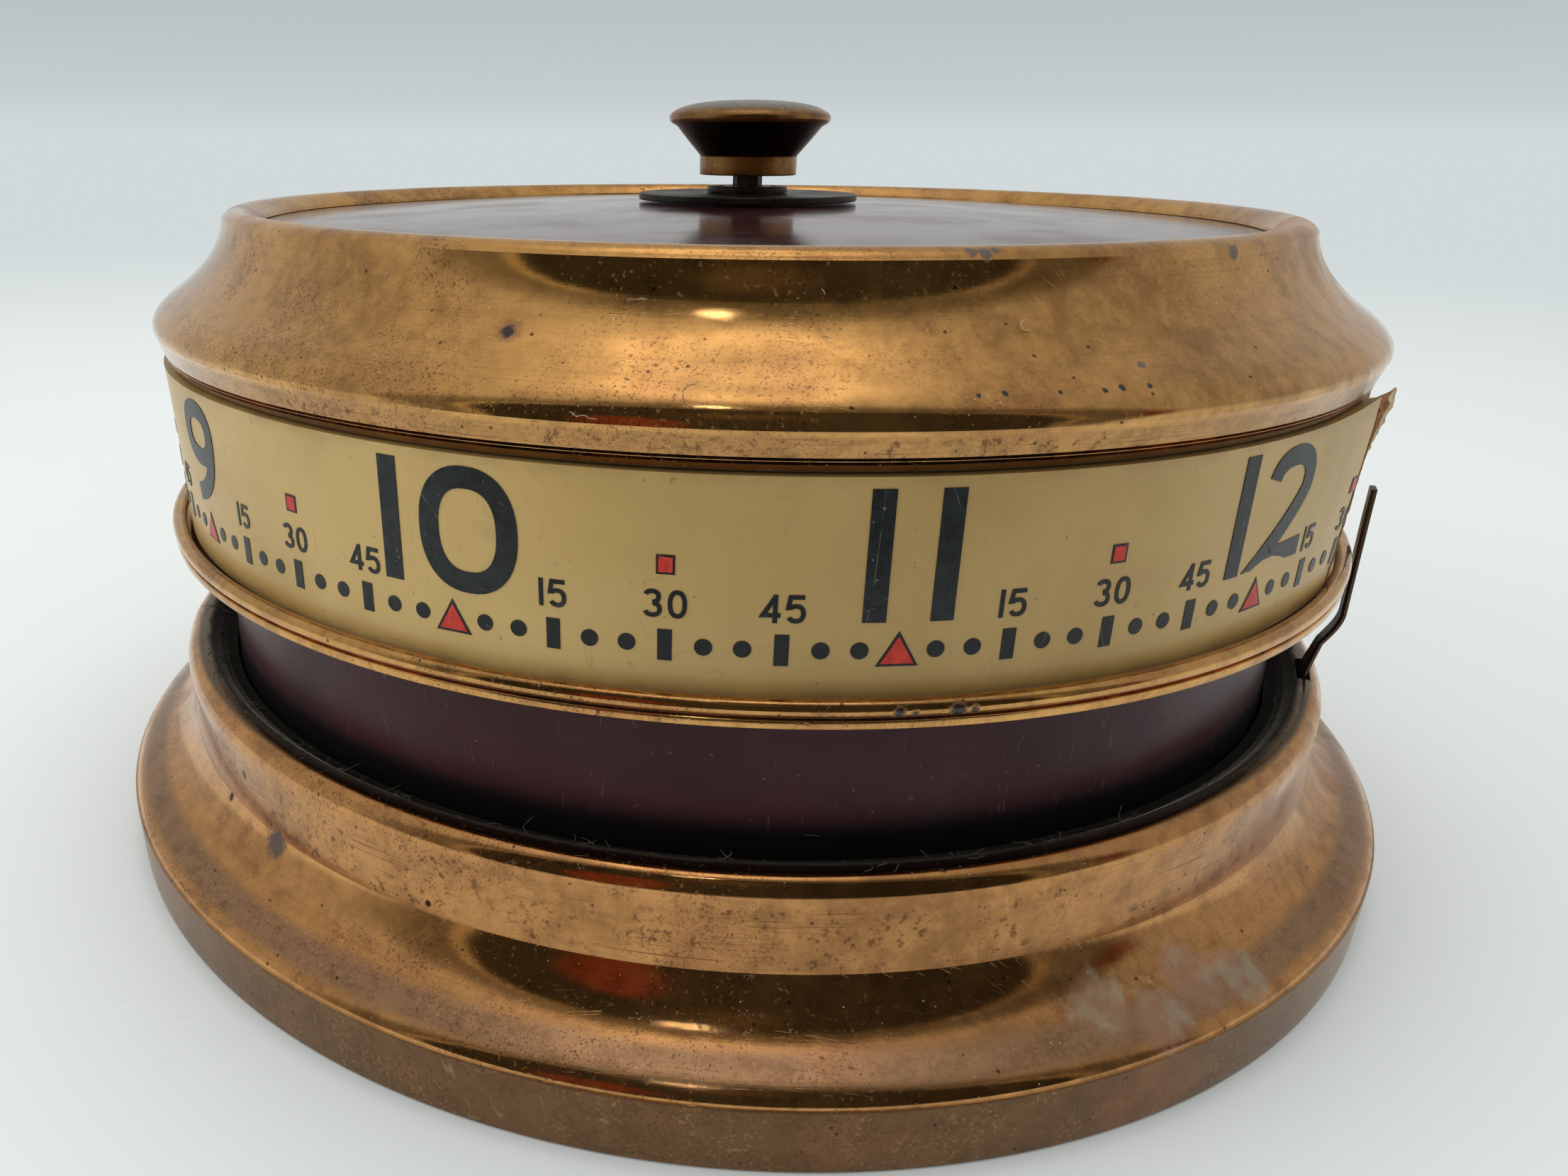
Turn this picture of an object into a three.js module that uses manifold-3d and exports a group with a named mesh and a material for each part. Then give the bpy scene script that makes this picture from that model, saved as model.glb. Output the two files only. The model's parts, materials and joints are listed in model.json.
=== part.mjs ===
// Rotary desk clock: a fixed base with a pointer, and a dial drum that turns once in 12 hours.
// Millimetres, +Z up. The origin is the centre of the foot, on the table.
import * as THREE from "three";
import { mergeVertices } from "three/addons/utils/BufferGeometryUtils.js";
import Module from "manifold-3d";

const wasm = await Module();
wasm.setup();

// Clearances and facets
const FIT = 0.3; // between a piece and what it seats on, or the pin that it goes round
const SKIN_GAP = 0.1; // between the layers wrapped on the dial drum, and in the stack on the lid
const RING_STEPS = 36; // facets round a shell
const ROUND_STEPS = 20; // facets round a knob, nut or pillar
const PIN_STEPS = 8; // facets round a small pin or hole
const NUT_FACETS = 6;
const SPIRAL_STEPS = 10; // facets in a turn of a wound spring
const OVERRUN = 1; // how far a cutting tool passes what it cuts
const WELD = 1e-4; // points closer than this are one

// Fixed drum: the size that the dial, the rim and the base follow
const DRUM_R = 50.15;
const DRUM_WALL = 0.8;
const DRUM_FOOT_W = 5.6; // turned-in foot, on the lower plate
const DRUM_FLANGE_W = 2.4; // collar under the ledge of the base
const DRUM_TOP_HOLE_R = 6;

// Base shell
const FOOT_R = 60.25;
const FOOT_FLARE = 0.3;
const FOOT_BAND_H = 5.05;
const FOOT_ROUND = 1.2;
const FOOT_RING_W = 3.75; // turned-in ring that the clock stands on
const FLANK_SLOPE = 20; // degrees, of the sloping band between the foot round and the cove
const COVE_R = 4.2;
const COVE_Z = 11;
const COLLAR_FLARE = 0.6; // how far the lip stands out from the neck
const LIP_R = 1.25;
const LIP_Z = 16.2;
const LEDGE_W = 2.35;
const LEDGE_DROP = 0.2;
const LEDGE_T = 0.8;
const BASE_WALL = 0.9;

// Bottom cover, a shallow dish that leaves room for the key
const COVER_FLOOR_Z = 4.4;
const COVER_T = 0.8;
const COVER_SKIRT_GAP = 1.15; // to the inside of the foot band

// Movement plates and pillars
const LOWER_PLATE_Z = 8;
const PLATE_T = 1.4;
const PLATE_SPACE = 20.6; // between the plates
const LOWER_PLATE_GAP = 1; // to the inside of the neck
const UPPER_PLATE_GAP = 5.35; // to the inside of the fixed drum
const PILLAR_RING_R = 38;
const PILLAR_R = 2.6;
const PILLAR_PIN_R = 1.4;
const PILLAR_AZIMUTHS = [45, 135, 225, 315];
const NUT_H = 1.5;
const COVER_SCREW_R = 0.9;
const SCREW_HEAD_R = 2;
const SCREW_HEAD_H = 1;
const DRUM_SCREW_R = 1;
const DRUM_SCREW_AZIMUTHS = [15, 95, 260];

// Dial drum
const CARRIER_GAP = 1.15; // running gap round the fixed drum
const CARRIER_WALL = 0.9;
const CARRIER_WEB_T = 1;
const PAPER_T = 0.3;
const FILM_T = 0.4;
const BEAD_RING_Z = 27.9; // underside
const BEAD_R = 0.6;
const BEAD_OUT = 1.05; // centre of the bead, out from the film
const BEAD_LIP_T = 0.6;
const BEAD_GROOVE = 0.15;
const DIAL_H = 15.56; // from the underside of the bead ring to the skirt of the rim

// Rim shell, heights above its skirt edge
const RIM_WALL = 0.8;
const SKIRT_OUT = 0.4; // out from the film
const TORUS_R = 2.3;
const TORUS_IN = 1.25; // centre of the torus section, in from the skirt
const TORUS_H = 2.84;
const TORUS_TOP = 45; // degrees up from its outermost line, where the concave stretch starts
const TORUS_INNER_FOOT = -40;
const SCOOP_MID = [4.5, 7.14]; // in from the skirt, and up: the pull of the concave stretch
const SCOOP_TOP = [5.3, 11.04];
const RIM_ROLL_R = 0.55;
const RIM_H = 12;
const RIM_SHELF_W = 2.5; // shelf that carries the lid
const RIM_SHELF_T = 0.8;

// Lid, washer, nut, stem and knob
const LID_EDGE_DROP = 1.45; // below the top of the rim
const LID_DOME = 1.62;
const LID_T = 0.8;
const WASHER_R = 10.35;
const WASHER_T = 0.65;
const TOP_NUT_R = 3.8;
const TOP_NUT_H = 0.55;
const STEM_R = 1.39;
const STEM_SHOWN_H = 1.05;
const KNOB_COLLAR_R = 4.58;
const KNOB_COLLAR_H = 1.75;
const KNOB_R = 7.56;
const KNOB_CONE_H = 3.3;
const KNOB_EDGE_R = 0.45;
const KNOB_DOME_H = 1.7;
const KNOB_DOME_POWER = 2.4; // 2 is a plain bowl, and more is flatter in the middle
const KNOB_DOME_SHARES = [0.95, 0.8, 0.6, 0.35, 0];
const KNOB_BORE_H = 4.2;

// Pointer: a bent strip that stands in front of the dial
const POINTER_AZIMUTH = -20;
const POINTER_T = 0.45;
const POINTER_W = 1.8;
const POINTER_ROOT_W = 3.2;
const POINTER_ROOT_IN = 0.57; // root, in from the middle of the lip
const POINTER_KNEE = [0.82, 20.4]; // out from the root, and height
const POINTER_ELBOW = [2.07, 22.6];
const POINTER_TIP = [2.42, 34.4];
const POINTER_TAB_W = 2.3;
const POINTER_SLOT_W = 4.6;
const POINTER_SCREW_R = 0.55;
const POINTER_SCREW_HEAD_R = 1.1;

// Setting arbor and motion work
const ARBOR_LOW_R = 0.9;
const CANNON_TEETH = 8;
const CANNON_H = 2;
const CANNON_LIFT = 0.8; // above the upper plate
const MINUTE_TEETH = 24;
const MINUTE_MODULE = 0.75;
const MINUTE_WHEEL_T = 1;
const MINUTE_PINION_TEETH = 8;
const MINUTE_PINION_H = 1.8;
const MINUTE_AZIMUTH = -90;
const MINUTE_POST_R = 1;
const MINUTE_POST_ROOT = 0.5; // in the upper plate
const HOUR_TEETH = 32;
const HOUR_WHEEL_T = 1;
const PIPE_R = 3.2;
const PIPE_TOP_WALL = 0.7;
const HUB_FLANGE_R = 9;
const HUB_COLLAR_R = 5.6;
const HUB_T = 0.8;
const HUB_H = 1.7;

// Going train
const GREAT_TEETH = 48;
const CENTRE_PINION_TEETH = 8;
const GREAT_MODULE = 0.625;
const GREAT_T = 1.5;
const GREAT_LIFT = 1.9; // above the lower plate, as are the lifts below
const GREAT_AZIMUTH = 180;
const CENTRE_TEETH = 48;
const THIRD_PINION_TEETH = 6;
const CENTRE_MODULE = 0.48;
const CENTRE_T = 1.2;
const CENTRE_LIFT = 16.6;
const THIRD_AZIMUTH = 0;
const THIRD_TEETH = 45;
const FOURTH_PINION_TEETH = 6;
const THIRD_MODULE = 0.42;
const THIRD_T = 1;
const THIRD_LIFT = 6.1;
const FOURTH_AZIMUTH = 60; // seen from the third arbor
const FOURTH_TEETH = 48;
const ESCAPE_PINION_TEETH = 6;
const FOURTH_MODULE = 0.35;
const FOURTH_T = 1;
const FOURTH_LIFT = 12.6;
const ESCAPE_AZIMUTH = 100; // seen from the fourth arbor
const PINION_OVERHANG = 0.6; // a pinion is this much longer than its wheel at each end
const TRAIN_ARBOR_R = 0.6;
const TRAIN_PIVOT_R = 0.4;
const CENTRE_TUBE_WALL = 0.6;
const CLUTCH_R = 3.2;
const CLUTCH_T = 0.4;
const CLUTCH_COLLAR_R = 2.2;
const CLUTCH_COLLAR_T = 0.6;

// Mainspring, winding arbor, click and key
const WIND_ARBOR_R = 2;
const WIND_PIN_R = 1.4;
const RATCHET_TEETH = 16;
const RATCHET_R = 4.6;
const RATCHET_DEPTH = 0.9;
const RATCHET_T = 1;
const RATCHET_FORM = { root: 0.02, tipStart: 0.9, tipEnd: 0.98, lead: 0.12 }; // shares of the pitch
const CLICK_REACH = 8; // from the winding arbor to the click's stud
const CLICK_AZIMUTH = 100;
const CLICK_SPAN = 40; // degrees, from the click's stud back to its beak
const CLICK_LIFT = 0.08; // from the beak to the tooth tips, with the click lifted as it stands at rest
const CLICK_STUD_R = 0.7;
const CLICK_T = 1;
const CLICK_W = 1.8;
const CLICK_SPRING_T = 0.3;
const CLICK_SPRING_ROOT_TURN = 30; // degrees, seen from the click's stud
const CLICK_SPRING_TIP_TURN = -100;
const SPRING_TURNS = 5;
const SPRING_H = 10;
const SPRING_T = 0.4;
const SPRING_LIFT = 4.6;
const SPRING_R = 13;
const SPRING_POST_R = 1.5;
const SPRING_POST_AZIMUTH = 265;
const SPRING_END_TURN = 30; // degrees from the post to the outer end of the spiral
const KEY_HUB_R = 3;
const KEY_SPAN = 22;
const KEY_WING_T = 1.4;
const KEY_TABLE_GAP = 0.9;
const KEY_FLOOR_T = 1; // from the underside of the key to the end of the arbor

// Escapement, balance, hairspring and regulator
const ESCAPE_TEETH = 15;
const ESCAPE_R = 5;
const ESCAPE_TOOTH_DEPTH = 1.3;
const ESCAPE_FORM = { rootStart: 0.55, rootEnd: 0.85, tipStart: 0.97, tipEnd: 1.03 }; // shares of the pitch
const ESCAPE_T = 0.8;
const ESCAPE_LIFT = 8.6;
const LEVER_AZIMUTH = 150; // seen from the escape arbor
const PALLET_SPAN = 30; // degrees, each side of the line to the lever's arbor
const PALLET_W = 0.5;
const PALLET_LIFT = 0.12; // from the tooth tips, with the lever at rest
const LEVER_ARM_W = 1;
const BALANCE_REACH = 9.5; // from the lever's arbor to the balance staff
const FORK_CLEARANCE = 2.3; // from the fork to the balance staff
const FORK_W = 2.6;
const FORK_HORN_W = 0.65;
const FORK_HORN_L = 2;
const BALANCE_R = 8;
const BALANCE_RIM_W = 1;
const BALANCE_T = 0.9;
const BALANCE_LIFT = 11.1;
const BALANCE_SPOKE_W = 1.1;
const STAFF_R = 0.6;
const STAFF_POINT_H = 1;
const ROLLER_R = 1.9;
const ROLLER_T = 0.6;
const IMPULSE_PIN_R = 0.2;
const IMPULSE_PIN_REACH = 1.6;
const BALANCE_SCREW_R = 1.8;
const BALANCE_SCREW_REACH = 2.7; // inside its plate
const BALANCE_CUP_R = 0.95;
const HAIRSPRING_TURNS = 4;
const HAIRSPRING_R = 4.5;
const HAIRSPRING_T = 0.15;
const HAIRSPRING_H = 0.6;
const HAIRSPRING_LIFT = 14.1;
const STUD_R = 0.6;
const STUD_AZIMUTH = 60; // seen from the balance staff, as is the regulator
const REGULATOR_AZIMUTH = 150;
const REGULATOR_T = 0.7;
const REGULATOR_RING_W = 1.3;
const REGULATOR_ARM = 13;
const REGULATOR_ARM_W = 1.4;
const CURB_PIN_R = 0.3;

// Teeth: heights in modules, half widths in shares of the pitch
const WHEEL_FORM = { addendum: 0.95, dedendum: 1.25, rootHalf: 0.29, tipHalf: 0.09 };
const PINION_FORM = { addendum: 0.7, dedendum: 1.3, rootHalf: 0.2, tipHalf: 0.1 };

// Radii that follow from the sizes above
const carrierInR = DRUM_R + CARRIER_GAP;
const carrierR = carrierInR + CARRIER_WALL;
const paperInR = carrierR + SKIN_GAP;
const filmInR = paperInR + PAPER_T + SKIN_GAP;
const filmR = filmInR + FILM_T;
const skirtR = filmR + SKIRT_OUT;
const ledgeInR = DRUM_R + FIT;
const lipMidR = DRUM_R + LEDGE_W + LIP_R;
const neckR = lipMidR + LIP_R - COLLAR_FLARE;
const coveMidR = neckR + COVE_R;
const footRoundMidR = FOOT_R + FOOT_FLARE - FOOT_ROUND;
const lowerPlateR = neckR - BASE_WALL - LOWER_PLATE_GAP;
const upperPlateR = DRUM_R - DRUM_WALL - UPPER_PLATE_GAP;

// Heights that follow
const lowerTopZ = LOWER_PLATE_Z + PLATE_T;
const upperZ = lowerTopZ + PLATE_SPACE;
const upperTopZ = upperZ + PLATE_T;
const skirtZ = BEAD_RING_Z + DIAL_H;
const rimTopZ = skirtZ + RIM_H;
const lidEdgeZ = rimTopZ - LID_EDGE_DROP;
const lidTopZ = lidEdgeZ + LID_DOME;
const washerZ = lidTopZ + SKIN_GAP;
const topNutZ = washerZ + WASHER_T + SKIN_GAP;
const pipeTopZ = topNutZ + TOP_NUT_H;
const knobZ = pipeTopZ + STEM_SHOWN_H;
const shelfZ = lidEdgeZ - LID_T - FIT;
const cannonZ = upperTopZ + CANNON_LIFT;
const hourPipeZ = cannonZ + CANNON_H + FIT;
const hourWheelZ = hourPipeZ + FIT;
const webTopZ = carrierTopZ();
const webZ = webTopZ - CARRIER_WEB_T;
const hubTopZ = webZ - FIT;
const drumTopZ = hubTopZ - HUB_H - FIT - SKIN_GAP;
const pipeTopR = STEM_R + FIT + PIPE_TOP_WALL;

// Places of the arbors in plan
const centre = new THREE.Vector2(0, 0);
const greatReach = meshDistance(GREAT_MODULE, GREAT_TEETH, CENTRE_PINION_TEETH);
const greatPlace = placed(centre, greatReach, GREAT_AZIMUTH);
const thirdReach = meshDistance(CENTRE_MODULE, CENTRE_TEETH, THIRD_PINION_TEETH);
const thirdPlace = placed(centre, thirdReach, THIRD_AZIMUTH);
const fourthReach = meshDistance(THIRD_MODULE, THIRD_TEETH, FOURTH_PINION_TEETH);
const fourthPlace = placed(thirdPlace, fourthReach, FOURTH_AZIMUTH);
const escapeReach = meshDistance(FOURTH_MODULE, FOURTH_TEETH, ESCAPE_PINION_TEETH);
const escapePlace = placed(fourthPlace, escapeReach, ESCAPE_AZIMUTH);
const minuteReach = meshDistance(MINUTE_MODULE, MINUTE_TEETH, CANNON_TEETH);
const minutePlace = placed(centre, minuteReach, MINUTE_AZIMUTH);
const leverPlace = placed(escapePlace, ESCAPE_R / Math.cos(radians(PALLET_SPAN)), LEVER_AZIMUTH);
const balancePlace = placed(leverPlace, BALANCE_REACH, LEVER_AZIMUTH);
const greatTipR = GREAT_MODULE * (GREAT_TEETH / 2 + WHEEL_FORM.addendum);
const springPostPlace = placed(greatPlace, greatTipR + FIT + SPRING_POST_R, SPRING_POST_AZIMUTH);
const pillarPlaces = PILLAR_AZIMUTHS.map((azimuth) => placed(centre, PILLAR_RING_R, azimuth));
const drumScrewRing = DRUM_R - DRUM_FOOT_W / 2;
const drumScrewPlaces = DRUM_SCREW_AZIMUTHS.map((azimuth) => placed(centre, drumScrewRing, azimuth));
const hairspringEndR = HAIRSPRING_R + HAIRSPRING_T / 2;
const studPlace = placed(balancePlace, hairspringEndR + FIT + STUD_R, STUD_AZIMUTH);

// Tooth phases, in degrees: each wheel's tooth meets the gap of the next
const centrePinionPhase = 0;
const greatPhase = meshedPhase(GREAT_AZIMUTH, CENTRE_PINION_TEETH, centrePinionPhase, GREAT_TEETH);
const thirdPinionPhase = meshedPhase(THIRD_AZIMUTH, CENTRE_TEETH, 0, THIRD_PINION_TEETH);
const fourthPinionPhase = meshedPhase(FOURTH_AZIMUTH, THIRD_TEETH, 0, FOURTH_PINION_TEETH);
const escapePinionPhase = meshedPhase(ESCAPE_AZIMUTH, FOURTH_TEETH, 0, ESCAPE_PINION_TEETH);
const minutePhase = meshedPhase(MINUTE_AZIMUTH, CANNON_TEETH, 0, MINUTE_TEETH);
const hourPhase = meshedPhase(MINUTE_AZIMUTH + 180, MINUTE_PINION_TEETH, 0, HOUR_TEETH);

function radians(degrees) {
  return (degrees * Math.PI) / 180;
}

function meshDistance(module, teethA, teethB) {
  return (module * (teethA + teethB)) / 2;
}

function placed(from, distance, azimuth) {
  const turn = radians(azimuth);
  return new THREE.Vector2(from.x + distance * Math.cos(turn), from.y + distance * Math.sin(turn));
}

// Phase of wheel B so that its gap faces wheel A's tooth. The azimuth is B's, seen from A.
function meshedPhase(azimuth, teethA, phaseA, teethB) {
  const toothA = ((phaseA - azimuth) * teethA) / 360;
  return azimuth + 180 - (360 / teethB) * (toothA + 0.5);
}

function arc(midR, midZ, radius, fromDegrees, toDegrees, steps) {
  const points = [];
  for (let i = 0; i <= steps; i += 1) {
    const turn = radians(fromDegrees + ((toDegrees - fromDegrees) * i) / steps);
    points.push([midR + radius * Math.cos(turn), midZ + radius * Math.sin(turn)]);
  }
  return points;
}

// The rim's concave stretch, from the torus up to the rolled edge, moved in by an offset
function scoop(offset, steps) {
  const start = scoopStart();
  const curve = new THREE.QuadraticBezierCurve(
    start,
    new THREE.Vector2(skirtR - SCOOP_MID[0], skirtZ + SCOOP_MID[1]),
    new THREE.Vector2(skirtR - SCOOP_TOP[0], skirtZ + SCOOP_TOP[1]),
  );
  const points = [];
  for (let i = 1; i <= steps; i += 1) {
    const at = curve.getPoint(i / steps);
    const along = curve.getTangent(i / steps);
    points.push([at.x - offset * along.y, at.y + offset * along.x]);
  }
  return points;
}

function scoopStart() {
  const [[r, z]] = arc(skirtR - TORUS_IN, skirtZ + TORUS_H, TORUS_R, TORUS_TOP, TORUS_TOP, 1);
  return new THREE.Vector2(r, z);
}

// Height at which the inside of the rim rests on the carrier's outer corner, less the fit
function carrierTopZ() {
  const inside = [scoopInside(), ...scoop(RIM_WALL, 8)];
  for (let i = 1; i < inside.length; i += 1) {
    const [r0, z0] = inside[i - 1];
    const [r1, z1] = inside[i];
    if (r1 <= carrierR) return z0 + ((carrierR - r0) / (r1 - r0)) * (z1 - z0) - FIT;
  }
  return inside[0][1] - FIT;
}

function scoopInside() {
  return arc(skirtR - TORUS_IN, skirtZ + TORUS_H, TORUS_R - RIM_WALL, TORUS_TOP, TORUS_TOP, 1)[0];
}

// A body turned about Z from a closed outline of [radius, height] points
function turned(outline, steps = ROUND_STEPS) {
  const points = outline.map(([r, z]) => new THREE.Vector2(Math.max(r, 0), z));
  if (THREE.ShapeUtils.area(points) < 0) points.reverse();
  while (points.some((p) => p.x === 0) && !(points[0].x === 0 && points.at(-1).x === 0)) {
    points.push(points.shift());
  }
  if (points[0].x > 0) points.push(points[0].clone());
  return new THREE.LatheGeometry(points, steps).rotateX(Math.PI / 2);
}

function rod(radius, z0, z1, place = centre, steps = PIN_STEPS) {
  const outline = [
    [0, z0],
    [radius, z0],
    [radius, z1],
    [0, z1],
  ];
  return turned(outline, steps).translate(place.x, place.y, 0);
}

function washer(inR, outR, z0, z1, place = centre, steps = ROUND_STEPS) {
  const outline = [
    [inR, z0],
    [outR, z0],
    [outR, z1],
    [inR, z1],
  ];
  return turned(outline, steps).translate(place.x, place.y, 0);
}

// A flat plate from an outline of [x, y] points
function plate(outline, z0, thickness) {
  const shape = new THREE.Shape(outline.map(([x, y]) => new THREE.Vector2(x, y)));
  return new THREE.ExtrudeGeometry(shape, { depth: thickness, bevelEnabled: false }).translate(0, 0, z0);
}

// A bar of even width between two places
function bar(from, to, width, z0, thickness) {
  const side = new THREE.Vector2(from.y - to.y, to.x - from.x).setLength(width / 2);
  const outline = [
    [from.x - side.x, from.y - side.y],
    [to.x - side.x, to.y - side.y],
    [to.x + side.x, to.y + side.y],
    [from.x + side.x, from.y + side.y],
  ];
  return plate(outline, z0, thickness);
}

// Teeth with straight flanks. Widths are shares of the pitch, from a tooth's middle to its flank.
function gear(teeth, module, form, phase, z0, thickness) {
  const pitchR = (module * teeth) / 2;
  const tipR = pitchR + form.addendum * module;
  const rootR = pitchR - form.dedendum * module;
  const corners = [
    [rootR, -form.rootHalf],
    [tipR, -form.tipHalf],
    [tipR, form.tipHalf],
    [rootR, form.rootHalf],
  ];
  const outline = [];
  for (let i = 0; i < teeth; i += 1) {
    for (const [radius, share] of corners) {
      const turn = radians(phase + (360 * (i + share)) / teeth);
      outline.push([radius * Math.cos(turn), radius * Math.sin(turn)]);
    }
  }
  return plate(outline, z0, thickness);
}

// A strip wound into a spiral, from r0 out to r1
function spiral(r0, r1, turns, width, startAzimuth, stepsPerTurn) {
  const steps = Math.round(turns * stepsPerTurn);
  const side = (offset) => {
    const points = [];
    for (let i = 0; i <= steps; i += 1) {
      const radius = r0 + ((r1 - r0) * i) / steps + offset;
      const turn = radians(startAzimuth) + (2 * Math.PI * i) / stepsPerTurn;
      points.push([radius * Math.cos(turn), radius * Math.sin(turn)]);
    }
    return points;
  };
  return [...side(width / 2), ...side(-width / 2).reverse()];
}

function solid(geometry) {
  const bare = geometry.clone();
  bare.deleteAttribute("normal");
  bare.deleteAttribute("uv");
  const merged = mergeVertices(bare, WELD);
  const triangles = [];
  for (let i = 0; i < merged.index.count; i += 3) {
    const [a, b, c] = [0, 1, 2].map((k) => merged.index.getX(i + k));
    if (a !== b && b !== c && c !== a) triangles.push(a, b, c);
  }
  return new wasm.Manifold(
    new wasm.Mesh({
      numProp: 3,
      vertProperties: merged.attributes.position.array,
      triVerts: new Uint32Array(triangles),
    }),
  );
}

function geometryOf(manifold) {
  const mesh = manifold.getMesh();
  const geometry = new THREE.BufferGeometry();
  geometry.setAttribute("position", new THREE.BufferAttribute(new Float32Array(mesh.vertProperties), 3));
  geometry.setIndex(new THREE.BufferAttribute(new Uint32Array(mesh.triVerts), 1));
  geometry.computeVertexNormals();
  return geometry;
}

function joined(...geometries) {
  return geometryOf(geometries.map(solid).reduce((whole, next) => whole.add(next)));
}

function cut(geometry, ...tools) {
  return geometryOf(tools.map(solid).reduce((whole, next) => whole.subtract(next), solid(geometry)));
}

// Base shell: one wall from the foot ring up to the rolled lip, and in to the drum as the ledge
function baseShell() {
  const flankTop = 270 - FLANK_SLOPE;
  const hollow = LIP_R - BASE_WALL;
  const outline = [
    [FOOT_R - FOOT_RING_W, 0],
    [FOOT_R, 0],
    ...arc(footRoundMidR, FOOT_BAND_H, FOOT_ROUND, 0, 90 - FLANK_SLOPE, 2),
    ...arc(coveMidR, COVE_Z, COVE_R, flankTop, 180, 5),
    ...arc(lipMidR, LIP_Z, LIP_R, 0, 180, 6),
    [ledgeInR, LIP_Z - LEDGE_DROP],
    [ledgeInR, LIP_Z - LEDGE_DROP - LEDGE_T],
    [lipMidR - hollow, LIP_Z - LEDGE_T],
    ...arc(lipMidR, LIP_Z, hollow, 180, 0, 2),
    ...arc(coveMidR, COVE_Z, COVE_R + BASE_WALL, 180, flankTop, 3),
    ...arc(footRoundMidR, FOOT_BAND_H, FOOT_ROUND - BASE_WALL, 90 - FLANK_SLOPE, 0, 1),
    [FOOT_R - BASE_WALL, BASE_WALL],
    [FOOT_R - FOOT_RING_W, BASE_WALL],
  ];
  const rootR = lipMidR - POINTER_ROOT_IN;
  const slotIn = rootR - POINTER_T / 2 - FIT;
  const slotOut = rootR + POINTER_T / 2 + FIT;
  const slot = new THREE.BoxGeometry(slotOut - slotIn, POINTER_SLOT_W, 2 * LIP_R + LEDGE_T)
    .translate((slotIn + slotOut) / 2, 0, LIP_Z + LEDGE_T)
    .rotateZ(radians(POINTER_AZIMUTH));
  return cut(turned(outline, RING_STEPS), slot);
}

function bottomCover() {
  const skirtOut = FOOT_R - BASE_WALL - COVER_SKIRT_GAP;
  const skirtIn = skirtOut - COVER_T;
  const floorTop = COVER_FLOOR_Z + COVER_T;
  const outline = [
    [0, COVER_FLOOR_Z],
    [skirtIn, COVER_FLOOR_Z],
    [skirtIn, BASE_WALL + FIT],
    [skirtOut, BASE_WALL + FIT],
    [skirtOut, floorTop],
    [0, floorTop],
  ];
  const holes = pillarPlaces.map((place) => rod(COVER_SCREW_R + FIT, 0, floorTop + OVERRUN, place));
  holes.push(rod(WIND_PIN_R + FIT, 0, floorTop + OVERRUN, greatPlace));
  return cut(turned(outline, RING_STEPS), ...holes);
}

function throughHoles(z) {
  const pivots = [thirdPlace, fourthPlace, escapePlace, leverPlace];
  const drill = (radius, place) => rod(radius + FIT, z - OVERRUN, z + PLATE_T + OVERRUN, place);
  return [
    ...pillarPlaces.map((place) => drill(PILLAR_PIN_R, place)),
    ...pivots.map((place) => drill(TRAIN_PIVOT_R, place)),
    drill(BALANCE_SCREW_R, balancePlace),
    drill(PILLAR_PIN_R, springPostPlace),
    drill(WIND_PIN_R, greatPlace),
  ];
}

function lowerPlate() {
  const blank = rod(lowerPlateR, LOWER_PLATE_Z, lowerTopZ, centre, RING_STEPS);
  const screws = drumScrewPlaces.map((place) =>
    rod(DRUM_SCREW_R + FIT, LOWER_PLATE_Z - OVERRUN, lowerTopZ + OVERRUN, place),
  );
  const centreHole = rod(TRAIN_PIVOT_R + FIT, LOWER_PLATE_Z - OVERRUN, lowerTopZ + OVERRUN);
  return cut(blank, ...throughHoles(LOWER_PLATE_Z), ...screws, centreHole);
}

function upperPlate() {
  const blank = rod(upperPlateR, upperZ, upperTopZ, centre, RING_STEPS);
  const stud = rod(STUD_R + FIT, upperZ - OVERRUN, upperTopZ + OVERRUN, studPlace);
  const centreHole = rod(STEM_R + FIT, upperZ - OVERRUN, upperTopZ + OVERRUN);
  const drilled = cut(blank, ...throughHoles(upperZ), stud, centreHole);
  const postTop = hourWheelZ + HOUR_WHEEL_T + FIT;
  const post = rod(MINUTE_POST_R, upperTopZ - MINUTE_POST_ROOT, postTop, minutePlace);
  return joined(drilled, post);
}

// Pillar with a pin through each plate. Its foot stands on the cover and takes the cover's screw.
function pillar(place) {
  const footZ = COVER_FLOOR_Z + COVER_T + FIT;
  const boreR = COVER_SCREW_R + FIT;
  const outline = [
    [boreR, footZ],
    [PILLAR_R, footZ],
    [PILLAR_R, LOWER_PLATE_Z - FIT],
    [PILLAR_PIN_R, LOWER_PLATE_Z - FIT],
    [PILLAR_PIN_R, lowerTopZ + FIT],
    [PILLAR_R, lowerTopZ + FIT],
    [PILLAR_R, upperZ - FIT],
    [PILLAR_PIN_R, upperZ - FIT],
    [PILLAR_PIN_R, upperTopZ + FIT + NUT_H],
    [0, upperTopZ + FIT + NUT_H],
    [0, LOWER_PLATE_Z - FIT],
    [boreR, LOWER_PLATE_Z - 2 * FIT],
  ];
  return turned(outline, PIN_STEPS).translate(place.x, place.y, 0);
}

function pillarNut(place) {
  const z0 = upperTopZ + FIT;
  return washer(PILLAR_PIN_R + FIT, PILLAR_R, z0, z0 + NUT_H, place, NUT_FACETS);
}

function coverScrew(place) {
  const headTop = COVER_FLOOR_Z - FIT;
  const outline = [
    [0, headTop - SCREW_HEAD_H],
    [SCREW_HEAD_R, headTop - SCREW_HEAD_H],
    [SCREW_HEAD_R, headTop],
    [COVER_SCREW_R, headTop],
    [COVER_SCREW_R, LOWER_PLATE_Z - 3 * FIT],
    [0, LOWER_PLATE_Z - 3 * FIT],
  ];
  return turned(outline, PIN_STEPS).translate(place.x, place.y, 0);
}

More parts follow.
